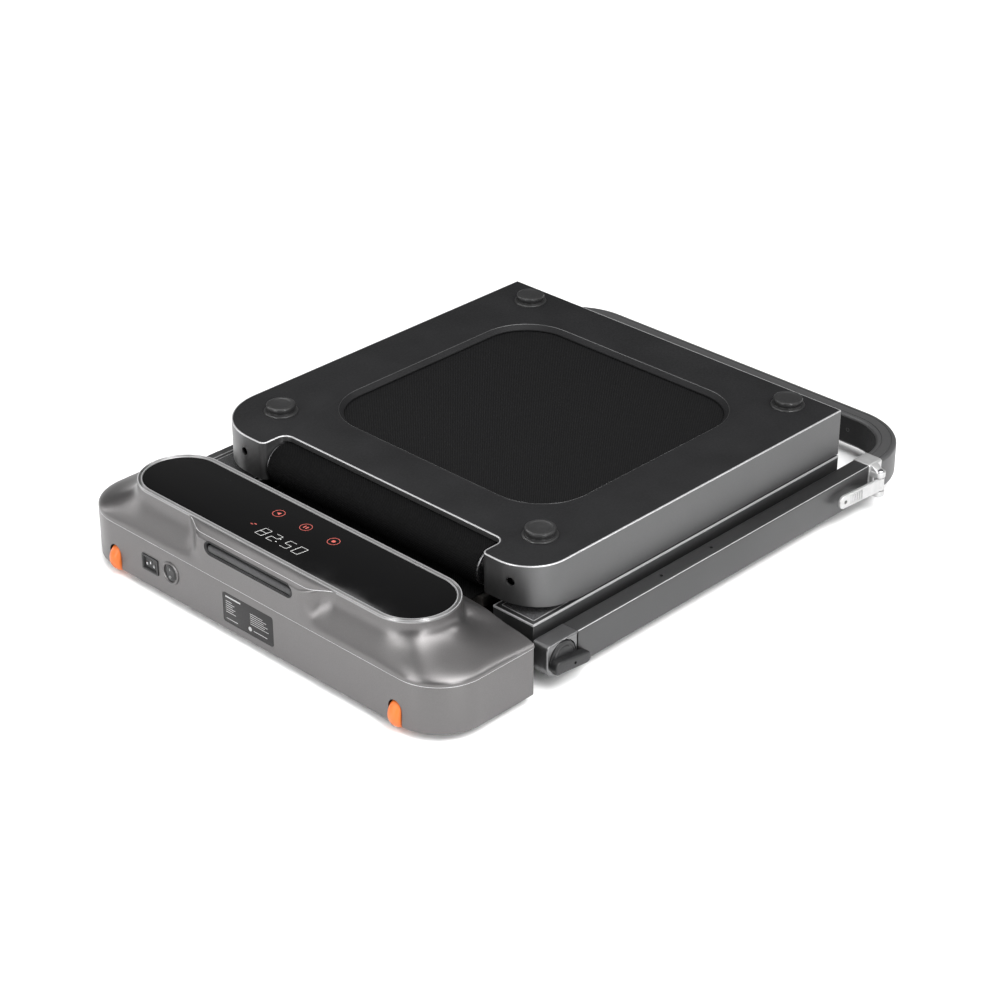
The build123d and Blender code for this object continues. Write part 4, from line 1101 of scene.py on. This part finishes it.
def bow_section(half, z0, z1):
    """A rounded box with two shallow grooves along its top."""
    r = 4 * MM
    out = arc(half - r, z1 - r, r, 0, 90, 5)
    for g in (half - 7.5 * MM, -half + 7.5 * MM):
        out += [(g + dx * MM, z1 - dz * MM) for dx, dz in ((0.9, 0), (0.5, 0.9), (-0.5, 0.9), (-0.9, 0))]
    out += arc(-half + r, z1 - r, r, 90, 180, 5) + arc(-half + r, z0 + r, r, 180, 270, 5)
    return out + arc(half - r, z0 + r, r, 270, 360, 5)


def handlebar():
    box, grip = Box("handlebar_covers"), Box("handlebar_grip")
    half = 14.5 * MM
    section = bow_section(half, box.z0, box.z1)
    far = box.y1 - half
    split = grip.x1 + 0.4 * MM
    groove = 1.2 * MM
    path = bow_path(box, half, box.y0, 89.5 * MM) + [((split + groove, far), (0, 1)), ((split, far), (0, 1))]
    declare_pair(sweep("bow_cover_right", path, section), BOW, "handlebar", "bow_grey", "handlebar_covers")
    # A near-black strip over the bow's inner face: painted shade for the face that turns away from the light.
    out, sunk = -half - 0.15 * MM, -half + 0.5 * MM
    strip = [(out, box.z0 + 4 * MM), (sunk, box.z0 + 3 * MM), (sunk, box.z1 - 3 * MM), (out, box.z1 - 4 * MM)]
    declare_pair(sweep("bow_liner_right", path, strip), PANEL, "handlebar", "black_plastic")
    middle = [((x, far), (0, 1)) for x in (grip.x1, grip.x1 - groove, 0, grip.x0 + groove, grip.x0)]
    declare(sweep("bow_grip", middle, section), BOW, "handlebar", "bow_grey", "handlebar_grip")
    plug = at(box.y1 - 2 * half, (3.2, 0.5), (3.2, -0.25), (2.2, -0.3), (1.6, 0.3))
    plugs = [lathe("plug", plug, (x, box.cz + MM), "y", 24) for x in (-229 * MM, 229 * MM)]
    declare(join("bow_plugs", plugs), BLACK, "handlebar", "black_plastic")


# ---------------------------------------------------------------- carried-over nodes
def inner_parts():
    repaint(BLACK_STEEL, "motor", "front_axle_brackets", "front_cross_members", "front_pan",
            "front_hinge_leaves", "rear_hinge_leaves", "rear_cross_members", "belt_adjusters")
    repaint(STEEL, "motor_rotor", "front_roller", "front_axle", "front_guide_bar", "pivot_bolts",
            "hinge_pins", "rear_roller", "rear_axle", "rear_guide_bar")
    repaint(CORE, "handlebar_core")
    repaint(BLACK, "motor_fan", "slide_bushes")
    repaint(SOFT, "drive_belt")
    repaint(CIRCUIT, "controller", "display_board")
    repaint(CAST, "roller_pulley")
    repaint(WOOD, "front_board", "rear_board")
    repaint(FOOT, "front_feet")


# ---------------------------------------------------------------- stage
def stage():
    size = 60.0
    corners = [(-size, -size, 0), (size, -size, 0), (size, size, 0), (-size, size, 0)]
    floor = new_object("floor", corners, [(0, 1, 2, 3)])
    m = Nodes("floor_paint", (0.9, 0.9, 0.9), 0.0, 0.6)
    m.tint(m.ramp(m.noise(3, 3), 0, 1), (0.88, 0.88, 0.88), (0.91, 0.91, 0.91))
    floor.data.materials.append(m.mat)
    world = bpy.data.worlds.new("studio")
    bpy.context.scene.world = world
    bpy.context.scene.view_settings.view_transform = "Standard"
    world.use_nodes = True
    background = world.node_tree.nodes["Background"]
    background.inputs["Color"].default_value = (1, 1, 1, 1)
    background.inputs["Strength"].default_value = 0.15


def looking(way):
    """The rotation of a light or camera that looks along a vector."""
    return way.to_track_quat("-Z", "Y").to_euler()


# name, place, size, power in watts; every card is turned to CARD_AIM.
CARD_AIM = Vector((0.2, -0.42, 0.08))
CARDS = (
    ("front_card", (-1.47, -1.93, 1.3), (1.7, 2.6), 15),
    ("side_card", (2.24, 0.53, 1.3), (1.6, 2.6), 11),
    ("back_card", (-0.73, 0.51, 2.47), (2.4, 0.9), 9),
    ("ridge_card", (-1.35, -0.08, 1.83), (1.3, 0.5), 9),
    ("edge_card", (1.56, 1.34, 1.70), (1.0, 0.45), 17),
    ("front_streak", (0.05, -2.53, 0.98), (0.2, 1.9), 34),
    ("side_streak", (2.26, -0.93, 0.98), (0.2, 1.9), 34),
    ("front_streak_high", (-0.20, -1.81, 2.00), (0.14, 1.1), 11),
    ("side_streak_high", (1.50, -0.51, 2.09), (0.12, 0.9), 6),
    ("left_streak", (-2.24, -1.17, 0.73), (0.3, 1.3), 10),
)


def lights():
    """A high soft sun whitens the floor; tall cards with gaps between them shape the metal."""
    data = bpy.data.lights.new("high_sun", "SUN")
    data.energy = 3.5
    data.angle = math.radians(48)
    add_object("high_sun", data).rotation_euler = looking(Vector((-0.423, 0.0, -0.906)))
    for name, spot, size, power in CARDS:
        data = bpy.data.lights.new(name, "AREA")
        data.shape = "RECTANGLE"
        data.size, data.size_y = size
        data.energy = power
        card = add_object(name, data)
        card.location = spot
        card.rotation_euler = looking(CARD_AIM - Vector(spot))


def camera():
    azimuth, elevation, distance = math.radians(44.0), math.radians(29.3), 3.5338
    target = Vector((30.4 * MM, FRONT + 430.0 * MM, 57.6 * MM))
    flat = math.cos(elevation)
    back = Vector((math.sin(azimuth) * flat, -math.cos(azimuth) * flat, math.sin(elevation)))
    data = bpy.data.cameras.new("camera")
    data.lens = 93.06
    data.sensor_width = 36
    cam = add_object("camera", data)
    cam.location = target + back * distance
    cam.rotation_euler = looking(-back)
    bpy.context.scene.camera = cam


lower_shell()
upper_cover()
grip_cup()
display()
key_signs()
led_digits()
inlet_and_switch()
rating_label()
transport_wheels()
front_rails()
walking_belt("walking_belt_front", "belt_front_half", "base", 1)
walking_belt("walking_belt_rear", "belt_rear_half", "rear_deck", -1)
belt_fold()
rear_skirt()
rear_panel()
rear_feet()
rear_running_side()
uprights()
knuckles()
lock_knobs()
brackets()
clamp_levers()
handlebar()
inner_parts()
stage()
lights()
camera()
